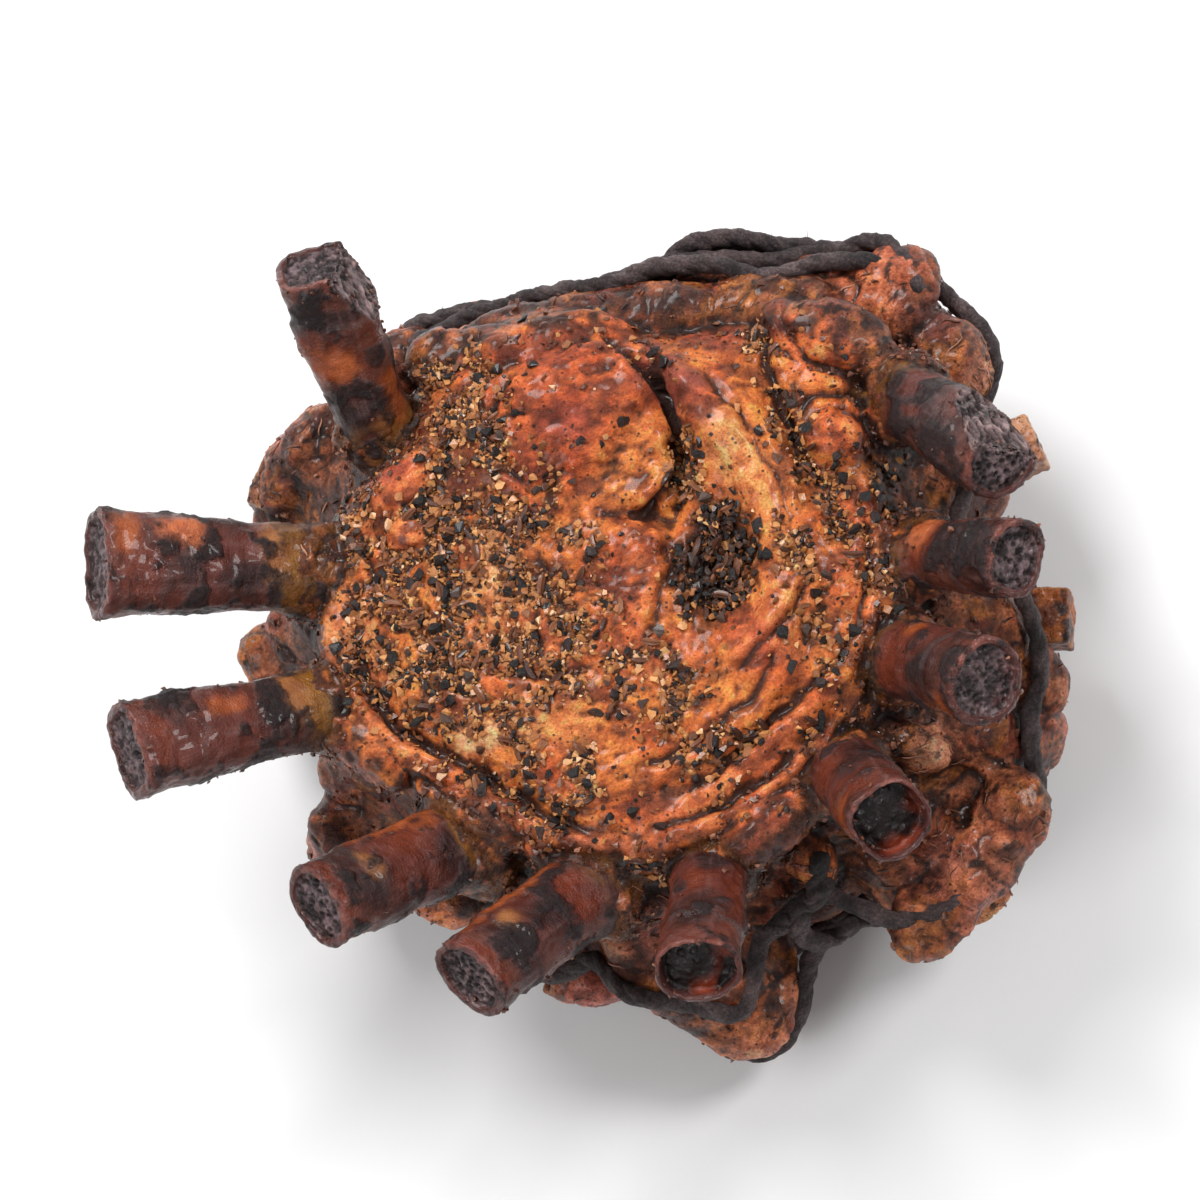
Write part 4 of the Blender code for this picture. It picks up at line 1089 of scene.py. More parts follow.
def make_rib(index, name, finish):
    """One bone: rings of points along it, over its lip and into its marrow, then its colours."""
    foot, tip, tip_half, foot_half = BONES[name]
    square, soot_share, wet, patches = BONE_LOOKS[name]
    across, through, along = bone_frame(foot, tip)
    foot, tip = np.array(foot, float), np.array(tip, float)
    length = np.linalg.norm(tip - foot) + BONE_SEAT
    start = foot - along * BONE_SEAT
    angle = np.linspace(-np.pi, np.pi, BONE_SIDES, endpoint=False)
    body = np.linspace(0.1, 1, BONE_RINGS) ** 0.92
    # Rings of the body, round the lip, across the rim, and over the marrow to its middle.
    rings = [(s, 1.0, 0.0) for s in body]
    rings += [(1.0, 1 - k * 0.35 / tip_half[1], 0.25 * k) for k in (0.5, 1)]
    rim_in = 1 - RIM_WALL * (0.6 if wet > 0.5 else 1) / tip_half[1]
    rings += [(1.0, q, 0.35) for q in np.linspace(1 - 0.6 / tip_half[1], rim_in, 5)]
    deep = 0.8 + 2.6 * (wet > 0.5)
    rings += [(1.0, rim_in - 0.02 * k, -deep * k / 4) for k in (1, 2, 3)]
    rings += [(1.0, q, -deep) for q in np.linspace(rim_in - 0.1, 0.03, 20)]
    table = np.array(rings)
    share, scale, proud = (table[:, k][:, None] * np.ones(BONE_SIDES) for k in range(3))
    theta = np.ones(len(table))[:, None] * angle
    c, s = np.cos(theta), np.sin(theta)
    pin = (np.abs(c) ** square + np.abs(s) ** square) ** (-1 / square)
    pin = 1 + (pin - 1) * ramp(share, 0.25, 0.6)
    waist = 1 - (1 - BONE_WAIST) * np.sin(np.pi * share) ** 2
    flare = 1 + 0.035 * bell((share - 1) / 0.08)
    half_w = (foot_half[0] + (tip_half[0] - foot_half[0]) * share) * waist * flare * 0.985
    half_t = (foot_half[1] + (tip_half[1] - foot_half[1]) * share) * waist * flare * 0.985
    marrow = ramp(scale, rim_in - 0.02, rim_in - 0.06)
    lip = ramp(scale, 0.999, 0.97) * (1 - marrow)
    dome = np.where(scale < rim_in, wet * 0.8 * (1 - (scale / rim_in) ** 2), 0)
    height = share * length + proud + dome
    flat = np.stack([c * pin * half_w * scale, s * pin * half_t * scale, height], -1).reshape(-1, 3)
    seed = 200 + 20 * index
    swirl = rough(flat / 9, 3, seed)
    swirl2 = rough(flat / 3.0, 3, seed + 1)
    long_lines = rough(flat / np.array([1.6, 1.6, 13.0]), 2, seed + 2)
    share, scale, marrow, lip = (v.ravel() for v in (share, scale, marrow, lip))
    outward = np.stack([np.cos(theta), np.sin(theta), 0 * theta], -1).reshape(-1, 3)
    on_body = (scale > 0.995) * 1.0
    lift = swirl * 0.6 + swirl2 * 0.16 + long_lines * 0.16
    soot = ramp(rough(flat / 8, 4, seed + 3), 0.42 - soot_share, 0.85 - soot_share)
    lift += soot * (0.15 + 0.32 * np.maximum(rough(flat / 1.6, 2, seed + 4), -0.2))
    sleeve = np.clip(share - 0.8 - 0.07 * rough(flat / 9, 2, seed + 17), -1, 1)
    lift += 0.55 * ramp(sleeve, 0.012, -0.004) * ramp(share, 0.45, 0.75)
    fray = bell((share - 0.97) / 0.02) * rough(flat / 2.2, 2, seed + 5) * 0.5
    flat = flat + outward * ((lift + fray) * (on_body + 0.8 * (1 - on_body) * scale))[:, None]
    pits, *_ = cells(flat / 1.5, seed + 6)
    pit_depth = ramp(pits, 0.62, 0.2) * (1 - wet)
    flat[:, 2] -= marrow * (0.85 * pit_depth + 0.6 * rough(flat / 4, 3, seed + 7) * (1 - 0.5 * wet))
    bubble, *_ = cells(flat / 2.6, seed + 8)
    flat[:, 2] += marrow * wet * 0.7 * ramp(bubble, 0.5, 0.1)
    flat[:, 2] += lip * 0.4 * rough(flat / 2.5, 2, seed + 9)
    cut_face = np.zeros(len(flat))
    world = start + flat @ np.stack([across, through, along])
    bow = -1.5 * np.sin(np.pi * share)
    world = world + np.outer(bow, through)
    if name in SAW_CUTS:
        middle, facing = (np.array(v, float) for v in SAW_CUTS[name])
        facing /= np.linalg.norm(facing)
        beyond = (world - middle) @ facing
        cut_face = ramp(beyond, -0.25, 0.35)
        stretched = flat / np.array([1.4, 1.4, 3.4])
        holes, *_ = cells(stretched, seed + 10)
        world = world - np.outer(np.maximum(beyond, 0), facing)
        world = world - np.outer(cut_face * (1.1 * ramp(holes, 0.6, 0.25) + 0.1), facing)

    colour = lerp((0.13, 0.036, 0.022), (0.045, 0.018, 0.015), ramp(swirl, -0.3, 0.5))
    degrees = np.degrees(np.arctan2(outward[:, 1], outward[:, 0]))
    glow = np.zeros(len(flat))
    wobble = rough(flat / 5, 3, seed + 12) * 0.36
    for at, turn, half_share, half_turn, shade in patches:
        reach = np.hypot((share - at) / half_share, angle_between(degrees, turn) / half_turn) + wobble
        mask = ramp(reach, 1.3, 0.3)
        colour = lerp(colour, shade, mask * 0.94)
        glow = np.maximum(glow, mask) if shade in (AMBER, ORANGE, RED, OLIVE) else glow * (1 - mask)
    soot = soot * (1 - 0.8 * glow)
    # Painted highlight: the lip is painted lighter on its upper side.
    upper = ramp(-outward[:, 1], -0.3, 0.9) * ramp(swirl2, 0.5, -0.3)
    dry = laid_over(
        lerp(FACE_TONES["dry"], (0.04, 0.024, 0.026), ramp(swirl2, -0.3, 0.3)),
        ((0.42, 0.32, 0.32), ramp(rough(flat / 1.4, 2, seed + 13), 0.35, 0.7) * 0.5),
        ((0.008, 0.005, 0.005), pit_depth),
    )
    # Painted glow: the marrow is painted amber-red where it faces +X and down the slope.
    towards = (flat @ np.stack([across, through, along]) + start - tip) @ np.array((0.75, -0.35, -0.3))
    marrow_painted_glow = ramp(towards / 6, -0.1, 0.6) * ramp(rough(flat / 7, 2, seed + 14), -0.7, 0.0)
    moist = lerp(FACE_TONES["wet"], (0.25, 0.032, 0.005), ramp(scale, 0.22, rim_in * 0.9) * marrow_painted_glow)
    colour = laid_over(
        colour,
        ((0.2, 0.095, 0.085), ramp(long_lines, 0.25, 0.7) * 0.3 * (1 - glow) * on_body),
        ((0.022, 0.013, 0.014), soot * 0.8),
        ((0.03, 0.014, 0.012), 0.6 * bell(sleeve / 0.012) * on_body),
        ((0.2, 0.05, 0.038), bell((share - 1.0) / 0.014) * on_body * 0.5),
        (lerp((0.085, 0.026, 0.022), FACE_TONES["rim"], upper), lip),
        (lerp(dry, moist, np.full(len(flat), wet)), marrow),
    )
    if name in SAW_CUTS:
        sawn = lerp((0.19, 0.125, 0.125), (0.4, 0.27, 0.26), ramp(swirl2, 0.0, 0.6))
        sawn = lerp(sawn, (0.014, 0.009, 0.01), ramp(holes, 0.62, 0.3))
        colour = lerp(colour, sawn, cut_face)
    root = ramp(share, 0.36, 0.22) * ramp(rough(flat / 5, 2, seed + 15), -0.4, 0.2)
    colour = lerp(colour, (0.2, 0.08, 0.012), root * 0.8)
    shine = 0.35 + 0.35 * ramp(rough(flat / 7, 2, seed + 16), -0.2, 0.4)
    glosses = ((0.72, glow), (0.22, soot), (0.8, lip), (0.3 + 0.7 * wet, marrow), (0.3, cut_face))
    for value, mask in glosses:
        shine = shine + (value - shine) * mask
    made_soot = np.clip(soot * (1 - marrow) + 0.55 * marrow * (1 - wet) + 0.35 * cut_face, 0, 1)

    caps = [world[:BONE_SIDES].mean(0), world[-BONE_SIDES:].mean(0)]
    made = mesh_object("bone_" + name, *closed_grid(world, BONE_SIDES, caps))
    outside_out(made)
    layers = {"tone": colour, "soot": made_soot, "shine": shine}
    paint(made, **{key: np.concatenate([v, v[[0]], v[[-1]]]) for key, v in layers.items()})
    dress(made, finish, "roast_bone", name)
    return made


def outside_out(made):
    """Turns a closed mesh's faces outward."""
    bm = bmesh.new()
    bm.from_mesh(made.data)
    bmesh.ops.recalc_face_normals(bm, faces=bm.faces)
    bm.to_mesh(made.data)
    bm.free()


# ---- the sawn chine blocks ----
CHINE_LOOKS = {
    "chine_1": ((0.7, 0.34, 0.19), (0.42, 0.165, 0.075), 0.12),
    "chine_2": ((0.46, 0.125, 0.022), (0.18, 0.045, 0.015), 0.4),
    "chine_3": ((0.36, 0.13, 0.06), (0.16, 0.055, 0.03), 0.45),
    "chine_4": ((0.42, 0.16, 0.06), (0.19, 0.065, 0.03), 0.45),
    "chine_5": ((0.38, 0.15, 0.08), (0.17, 0.065, 0.04), 0.45),
    "chine_6": ((0.35, 0.12, 0.05), (0.15, 0.055, 0.03), 0.5),
}
CHINE_CUTS = 26


def make_chine(index, name, finish):
    """One sawn block: a cube with rounded edges, pores and soot."""
    azimuth, radius, height, sizes = CHINE_BLOCKS[name]
    width, depth, tall = sizes
    outward = np.array([math.cos(math.radians(azimuth)), math.sin(math.radians(azimuth)), 0])
    sideways = np.array([-outward[1], outward[0], 0])
    bm = bmesh.new()
    bmesh.ops.create_cube(bm, size=2)
    bmesh.ops.subdivide_edges(bm, edges=bm.edges[:], cuts=CHINE_CUTS, use_grid_fill=True)
    unit = np.array([v.co for v in bm.verts])
    faces = [[v.index for v in f.verts] for f in bm.faces]
    bm.free()
    half = np.array([depth, width, tall]) / 2
    local = unit * half
    inner = np.clip(local, -half + 0.9, half - 0.9)
    gap = local - inner
    reach = np.linalg.norm(gap, axis=1)[:, None]
    local = inner + gap / np.maximum(reach, 1e-6) * np.minimum(reach, 0.9)
    seed = 500 + 10 * index
    facing = gap / np.maximum(reach, 1e-6)
    lift = rough(local / 6, 3, seed) * 0.55 + rough(local / 1.8, 2, seed + 1) * 0.16
    holes, *_ = cells(local / 1.7, seed + 2)
    open_face = ramp(np.abs(facing[:, 0]) + np.abs(facing[:, 2]), 0.4, 0.9)
    lift -= 0.45 * ramp(holes, 0.5, 0.2) * open_face
    local = local + facing * lift[:, None]
    world = (
        np.outer(radius + local[:, 0], outward) + np.outer(local[:, 1], sideways)
        + np.outer(height + local[:, 2], (0, 0, 1))
    )
    light, dark, soot_share = CHINE_LOOKS[name]
    edge = ramp(np.sort(np.abs(facing), axis=1)[:, 1], 0.15, 0.6)
    soot = ramp(rough(local / 5, 3, seed + 4), 0.55 - soot_share, 0.85 - soot_share)
    colour = laid_over(
        lerp(light, dark, ramp(rough(local / 5, 3, seed + 3), -0.2, 0.4)),
        ((0.6, 0.3, 0.12), edge * 0.45),
        ((0.03, 0.018, 0.016), soot * 0.8),
    )
    made = mesh_object("sawn_" + name, world, faces)
    outside_out(made)
    paint(made, tone=colour, soot=soot)
    dress(made, finish, "sawn_chine", name)


# ---- the twine ----
def hull(points):
    """The convex outline of flat points, anticlockwise."""
    points = sorted(map(tuple, points))
    halves = []
    for ordered in (points, points[::-1]):
        half = []
        for p in ordered:
            while len(half) > 1 and (
                (half[-1][0] - half[-2][0]) * (p[1] - half[-2][1])
                <= (half[-1][1] - half[-2][1]) * (p[0] - half[-2][0])
            ):
                half.pop()
            half.append(p)
        halves += half[:-1]
    return np.array(halves)


def loop_height(heights, azimuth):
    """Height of a loop of twine, given at even steps from -180 degrees."""
    step = 360 / len(heights)
    at = (np.asarray(azimuth, float) + 180) / step
    i = np.floor(at).astype(int) % len(heights)
    t = at - np.floor(at)
    t = t * t * (3 - 2 * t)
    heights = np.asarray(heights, float)
    return heights[i] * (1 - t) + heights[(i + 1) % len(heights)] * t


def wall_outline(heights, reach):
    """Angle and radius of the wall all round, at a loop's height."""
    azimuth = np.arange(-180, 180, 2.0)
    share = np.linspace(RIM_AT, BASE_AT + 0.07, 170)
    surface = meat_points(*np.meshgrid(azimuth, share, indexing="ij"))
    radius = []
    for k, z in enumerate(loop_height(heights, azimuth)):
        near = np.abs(surface[k, :, 2] - z) < reach
        radius.append(np.hypot(surface[k, near, 0], surface[k, near, 1]).max() + reach)
    return np.radians(azimuth), np.array(radius)


def around(values, reach, combine):
    """Each value combined with its neighbours round a closed loop."""
    return combine([np.roll(values, k) for k in range(-reach, reach + 1)], axis=0)


def twine_route(heights, reach, count=720):
    """A loop of twine round the plain wall, drawn taut over its hollows at the back."""
    turn, wall = wall_outline(heights, reach)
    sagging = around(around(wall, TWINE_SAG // 2, np.max), TWINE_SAG // 2, np.mean)
    outward = np.stack([np.cos(turn), np.sin(turn)], -1)
    corners = hull(outward * wall[:, None])
    sides = np.roll(corners, -1, axis=0) - corners
    facing = np.stack([sides[:, 1], -sides[:, 0]], -1)
    taut = 1 / np.max(outward @ facing.T / np.sum(facing * corners, axis=1), axis=1)
    taut = around(taut, 2, np.mean)
    share = np.clip((np.degrees(turn) - TWINE_TAUT[0]) / 20, 0, 1)
    share = share * np.clip((TWINE_TAUT[1] - np.degrees(turn)) / 20, 0, 1)
    radius = around(np.maximum(sagging + (taut - sagging) * share * TWINE_PULL, wall), 1, np.mean)
    even = np.linspace(-math.pi, math.pi, count, endpoint=False)
    radius = np.interp(even, turn, radius, period=2 * math.pi)
    z = loop_height(heights, np.degrees(even))
    return np.stack([radius * np.cos(even), radius * np.sin(even), z], -1)


def hug(route, meat, off, closed):
    """The route, drawn in onto the finished wall, with some slack over its hollows."""
    ends = "wrap" if closed else "edge"
    radius = np.hypot(route[:, 0], route[:, 1])
    turn = np.degrees(np.arctan2(route[:, 1], route[:, 0]))
    found = radius - off
    for k, (x, y, z) in enumerate(route):
        outward = Vector((x, y, 0)).normalized()
        hit, place, _, _ = meat.ray_cast((outward * 145 + Vector((0, 0, z))) * MM, -outward)
        if hit:
            found[k] = np.hypot(place.x, place.y) / MM
    wall = np.convolve(np.pad(found, 4, ends), np.ones(9) / 9, "valid")
    wall = np.minimum(np.maximum(wall, found - 0.4) + off, radius + 2.5)
    slack = 0.25 + 0.25 * ramp(np.abs(turn - 92), 42, 32)
    drawn = wall + slack * np.maximum(radius - wall, 0)
    drawn = np.convolve(np.pad(drawn, 5, ends), np.ones(11) / 11, "valid")
    return route * np.stack([drawn / radius, drawn / radius, np.ones(len(route))], -1)


# Extra runs of the same twine: points (azimuth, height), and how far off the wall they lie.
TWINE_RUNS = {
    "twine_hook": ([(-53, 64), (-54.5, 60), (-56.5, 55), (-59, 50), (-63, 47), (-68, 46.5)], 5.2),
    "twine_turn": ([(-54, 57), (-58, 53.5), (-62, 48), (-63, 41), (-60, 35), (-55, 31)], 7.0),
    "twine_back": (
        [(112, 54), (102, 60), (92, 62.5), (82, 64.5), (72, 65), (62, 64), (54, 62), (48, 60)], 4.6,
    ),
    "twine_cross": ([(88, 54), (80, 58), (72, 57), (64, 54), (57, 56), (50, 60), (45, 62)], 7.0),
}
TWINE_SIDES = 26


def twine_tube(name, route, closed, finish, seed, *nodes):
    """Three plies twisted together, as one swept skin."""
    count = len(route)
    if closed:
        ahead = np.roll(route, -1, axis=0) - np.roll(route, 1, axis=0)
    else:
        ahead = np.gradient(route, axis=0)
    ahead /= np.linalg.norm(ahead, axis=1)[:, None]
    out = route * np.array([1, 1, 0])
    out -= np.sum(out * ahead, axis=1)[:, None] * ahead
    out /= np.linalg.norm(out, axis=1)[:, None]
    side = np.cross(ahead, out)
    walked = np.concatenate([[0], np.cumsum(np.linalg.norm(np.diff(route, axis=0), axis=1))])
    theta = np.linspace(0, 2 * np.pi, TWINE_SIDES, endpoint=False)
    turns = round(walked[-1] / TWINE_PITCH)
    twist = 2 * np.pi * turns * walked / (walked[-1] * (count / (count - 1) if closed else 1))
    plies = np.abs(np.cos(1.5 * (theta[None, :] - twist[:, None])))
    size = TWINE_RADIUS * (0.84 + 0.28 * plies**0.7)
    if not closed:
        ends = np.minimum(np.arange(count), np.arange(count)[::-1]) / 8
        size = size * np.sqrt(np.clip(ends, 0.02, 1))[:, None]
    rings = (
        route[:, None, :]
        + out[:, None, :] * (np.cos(theta)[None, :] * size * 0.96)[..., None]
        + side[:, None, :] * (np.sin(theta)[None, :] * size * 1.1)[..., None]
    )
    flat = rings.reshape(-1, 3)
    push = (rings - route[:, None, :]).reshape(-1, 3)
    push /= np.maximum(np.linalg.norm(push, axis=1), 1e-6)[:, None]
    bump = 0.22 * rough(flat / 1.1, 3, seed) + 0.42 * rough(flat / 6, 2, seed + 1)
    flat = flat + push * bump[:, None]
    faces = grid_faces(count, TWINE_SIDES).tolist()
    first = list(range(TWINE_SIDES))
    last = [(count - 1) * TWINE_SIDES + k for k in first]
    if closed:
        faces += [[last[k - 1], last[k], first[k], first[k - 1]] for k in first]
    else:
        faces += [first, last]
    tube = mesh_object(name, flat, faces)
    outside_out(tube)
    dress(tube, finish, "charred_twine", *nodes)


def twine_fuzz(routes, finish):
    """Short stray fibres that stand off the twine."""
    draw = np.random.default_rng(90)
    points, faces = [], []
    for route in routes:
        for _ in range(len(route) // 6):
            k = draw.integers(2, len(route) - 3)
            lean = draw.normal(size=3)
            lean /= np.linalg.norm(lean)
            start = route[k] + lean * (TWINE_RADIUS * 0.8)
            bend = draw.normal(size=3) * 0.6
            ends = [start + lean * t * draw.uniform(0.8, 2.0) + bend * t * t for t in (0, 0.5, 1)]
            points_here, faces_here = thread(ends, [0.09, 0.07, 0.02])
            faces += (faces_here + sum(map(len, points))).tolist()
            points.append(points_here)
    made = mesh_object("twine_fuzz", np.concatenate(points), faces)
    dress(made, finish, "charred_twine")


def thread(places, radii, sides=4):
    """A thin tube through a few places."""
    places = np.asarray(places, float)
    ahead = np.gradient(places, axis=0)
    ahead /= np.maximum(np.linalg.norm(ahead, axis=1), 1e-6)[:, None]
    side = np.cross(ahead, (0.31, 0.17, 0.93))
    side /= np.maximum(np.linalg.norm(side, axis=1), 1e-6)[:, None]
    other = np.cross(ahead, side)
    theta = np.linspace(0, 2 * np.pi, sides, endpoint=False)
    rings = places[:, None, :] + np.asarray(radii)[:, None, None] * (
        np.cos(theta)[None, :, None] * side[:, None, :] + np.sin(theta)[None, :, None] * other[:, None, :]
    )
    return rings.reshape(-1, 3), tube_triangles(len(places), sides)


# ---- spice, crumbs and shreds ----
def scatter(name, shapes, places, normals, sizes, stand, tilt, seed, finish, slot, shade=None):
    """Copies of a few shapes on the surface, as one mesh."""
    draw = np.random.default_rng(seed)
    points, faces, shades, count = [], [], [], 0
    for k, (place, normal, size) in enumerate(zip(places, normals, sizes)):
        shape, triangles = shapes[draw.integers(len(shapes))]
        up = normal + draw.normal(size=3) * tilt
        up /= np.linalg.norm(up)
        side = np.cross(up, draw.normal(size=3))
        side /= np.linalg.norm(side)
        axes = np.stack([side, np.cross(up, side), up])
        points.append(place + normal * size * stand + (shape * size) @ axes)
        faces.append(triangles + count)
        value = draw.random() if shade is None else shade[k]
        shades.append(np.full(len(shape), value) + draw.normal(size=len(shape)) * 0.03)
        count += len(shape)
    made = mesh_object(name, np.concatenate(points), np.concatenate(faces), smooth=False)
    paint(made, shade=np.concatenate(shades))
    dress(made, finish, slot)


def chip_shapes(count, squash, seed, points=11):
    """Angular chips, each the hull of a few scattered points."""
    draw = np.random.default_rng(seed)
    found = []
    for _ in range(count):
        bm = bmesh.new()
        for _ in range(points):
            p = draw.normal(size=3)
            p /= np.linalg.norm(p)
            size = draw.uniform(0.75, 1.1)
            bm.verts.new(p * size * (1, draw.uniform(0.65, 1), squash * draw.uniform(0.7, 1.3)))
        bmesh.ops.convex_hull(bm, input=bm.verts[:])
        bmesh.ops.triangulate(bm, faces=bm.faces[:])
        loose = [v for v in bm.verts if not v.link_faces]
        bmesh.ops.delete(bm, geom=loose, context="VERTS")
        bm.verts.index_update()
        shape = np.array([v.co for v in bm.verts])
        found.append((shape, np.array([[v.index for v in f.verts] for f in bm.faces])))
        bm.free()
    return found


def seed_shapes(count, seed):
    """Caraway seeds: curved, ribbed and pointed at both ends."""
    draw = np.random.default_rng(seed)
    found = []
    for _ in range(count):
        rows, sides = 9, 10
        t = np.linspace(-1, 1, rows)[:, None]
        theta = np.linspace(0, 2 * np.pi, sides, endpoint=False)[None, :]
        girth = 0.3 * np.sqrt(np.clip(1 - np.abs(t) ** 2.2, 0.004, 1)) * (1 + 0.16 * np.cos(5 * theta))
        bend = draw.uniform(0.1, 0.28) * (1 - t**2)
        shape = np.stack([t + 0 * theta, girth * np.cos(theta) + bend, girth * np.sin(theta)], -1)
        found.append((shape.reshape(-1, 3), tube_triangles(rows, sides)))
    return found


def pick(draw, weights, count):
    """Numbers of faces, drawn by weight."""
    return draw.choice(len(weights), size=count, p=weights / weights.sum())


def spread_out(places, sizes, gap):
    """Which of the places stay when each keeps clear of those before it."""
    kept, grid = [], {}
    step = 4.0
    for k, (place, size) in enumerate(zip(places, sizes)):
        key = tuple((place // step).astype(int))
        near = [j for d in np.ndindex(3, 3, 3) for j in grid.get(tuple(np.add(key, d) - 1), ())]
        if all(np.linalg.norm(place - places[j]) > gap * (size + sizes[j]) for j in near):
            kept.append(k)
            grid.setdefault(key, []).append(k)
    return np.array(kept)


def surface_samples(piece):
    """Middle in millimetres, normal and area of each face."""
    faces = piece.data.polygons
    centres, normals = read(faces, "center", 3), read(faces, "normal", 3)
    return centres / MM, normals, read(faces, "area", 1)[:, 0]


def make_spice(meat):
    """Grains, pepper, seeds, flakes, crumbs and shreds on the meat."""
    centres, normals, areas = surface_samples(meat)
    draw = np.random.default_rng(31)
    near_bone = bone_distance(centres)
    x, y, z, azimuth, radius, top = measured(centres)
    clear = ramp(near_bone, 0.5, 2.0)
    in_well = well_share(x, y) * top
    tan = grain_material(
        "tan grains",
        [(0.06, (0.03, 0.011, 0.006)), (0.26, (0.18, 0.058, 0.02)), (0.5, (0.42, 0.155, 0.048)),
         (0.72, (0.64, 0.275, 0.09)), (0.88, (0.82, 0.42, 0.165)), (0.97, (0.9, 0.62, 0.46))],
        (0.3, 0.5), 0.35, 0.0004, 0.2,
    )
    black = grain_material(
        "black pepper",
        [(0.1, (0.006, 0.005, 0.005)), (0.5, (0.014, 0.01, 0.01)), (0.8, (0.034, 0.022, 0.02)),
         (0.95, (0.1, 0.055, 0.04))],
        (0.32, 0.6), 0.22, 0.0006, 0.0,
    )
    brown = grain_material(
        "caraway",
        [(0.1, (0.035, 0.012, 0.007)), (0.5, (0.11, 0.036, 0.018)), (0.9, (0.24, 0.085, 0.036))],
        (0.32, 0.55), 0.3, 0.0003, 0.05,
    )
    shred = grain_material(
        "meat shreds",
        [(0.05, (0.022, 0.009, 0.007)), (0.35, (0.1, 0.032, 0.018)), (0.65, (0.27, 0.095, 0.045)),
         (0.9, (0.5, 0.23, 0.14))],
        (0.3, 0.55), 0.3, 0.0004, 0.1,
    )

    def lay_grains(
        name, shapes, finish, seed, which, power, thin, count, sizes, gap, stand, tilt, heap, shade=None
    ):
        weight = spice_amount(centres, which)
        weight = (weight**power + thin * top * (rough(centres / 6, 2, 50 + which) > 0.0)) * areas * clear
        k = pick(draw, weight, count)
        low, spread, bias = sizes
        size = low + spread * draw.random(len(k)) ** bias
        kept = spread_out(centres[k], size, gap)
        k, size = k[kept], size[kept]
        rise = heap * draw.random(len(k)) * in_well[k]
        places = centres[k] + np.outer(rise, (0, 0, 1))
        value = shade(k) if shade else None
        scatter(name, shapes, places, normals[k], size, stand, tilt, seed, finish, "roast_meat", value)

    def tan_shade(k):
        pale = np.zeros(len(k))
        for px, py, reach in PALE_GRAINS:
            pale = np.maximum(pale, bell(np.hypot(x[k] - px, y[k] - py) / reach))
        value = 0.53 + 0.25 * draw.normal(size=len(k))
        value -= 0.16 * ramp(rough(centres[k] / 9, 2, 58), -0.2, 0.4)
        value += 0.42 * pale * draw.random(len(k)) + 0.3 * (draw.random(len(k)) > 0.97) - 0.36 * in_well[k]
        return np.clip(value, 0, 1)

    # Shapes, finish, seed, kind of zone, its power, thin cover, count, sizes, gap, stand, tilt, heap.
    lay_grains(
        "spice_grains", chip_shapes(30, 0.8, 41, 9), tan, 51,
        0, 1.7, 0.01, 12000, (0.45, 1.15, 1.8), 0.46, 0.26, 0.5, 2.5, tan_shade,
    )
    lay_grains(
        "cracked_pepper", chip_shapes(30, 0.5, 42, 13), black, 52,
        1, 1.8, 0.03, 2500, (0.65, 1.75, 1.9), 0.58, 0.25, 0.35, 3.0,
    )
    lay_grains(
        "caraway_seeds", seed_shapes(8, 43), brown, 53,
        2, 1.4, 0.0, 150, (1.9, 0.9, 1.0), 0.45, 0.16, 0.25, 3.0,
    )
    lay_grains(
        "spice_flakes", chip_shapes(16, 0.16, 44, 9), tan, 54,
        0, 1.3, 0.008, 560, (1.0, 1.1, 1.3), 0.4, 0.22, 0.45, 2.0,
        lambda k: np.clip(0.36 + 0.28 * draw.normal(size=len(k)), 0, 0.95),
    )

    # Charred crumbs: round the bones' roots, in the rim and down the wall.
    weight = (
        1.0 * bell((near_bone - 1.0) / 3) * (z > 30)
        + 0.35 * (1 - top) * ramp(rough(centres / 7, 3, 55), 0.0, 0.5) * (z > 4)
        + 0.7 * bell((radius - np.interp(azimuth, RIM_ANGLES, RIM_RADII, period=360)) / 4) * (z > 55)
    ) * areas * (near_bone > 0.2)
    k = pick(draw, weight, CRUMB_COUNT)
    sizes = 0.4 + 0.95 * draw.random(len(k)) ** 2
    scatter(
        "charred_crumbs", chip_shapes(24, 0.7, 45, 10), centres[k], normals[k], sizes, 0.22, 0.6, 56, shred,
        "roast_meat", shade=np.clip(0.22 + 0.25 * np.abs(draw.normal(size=len(k))), 0, 1),
    )
    make_shreds(centres, normals, areas, top, shred)
    return shred


# Strong bundles of torn fibres: middle, reach, direction, how many, length, lightness.
FIBRE_BUNDLES = [
    ((72, -36, 62), 7, (0.75, 0.35, -0.5), 18, 7, 0.6),
    ((80, 52, 50), 8, (0.05, -0.7, -0.7), 26, 8, 0.7),
    ((7, -75, 57), 10, (0.95, 0.1, -0.2), 24, 7, 0.45),
    ((62, -62, 55), 12, (0.8, 0.5, -0.1), 22, 6, 0.35),
    ((-24, -73, 52), 9, (0.9, -0.3, -0.3), 18, 6, 0.45),
    ((44, -62, 62), 9, (0.7, 0.6, 0.1), 14, 6, 0.3),
    ((86, 34, 52), 8, (0.1, -0.8, -0.5), 16, 6, 0.3),
    ((-88, 44, 34), 9, (0.5, 0.5, 0.6), 20, 7, 0.6),
    ((86, -54, 42), 10, (0.3, 0.7, -0.5), 16, 6, 0.45),
]


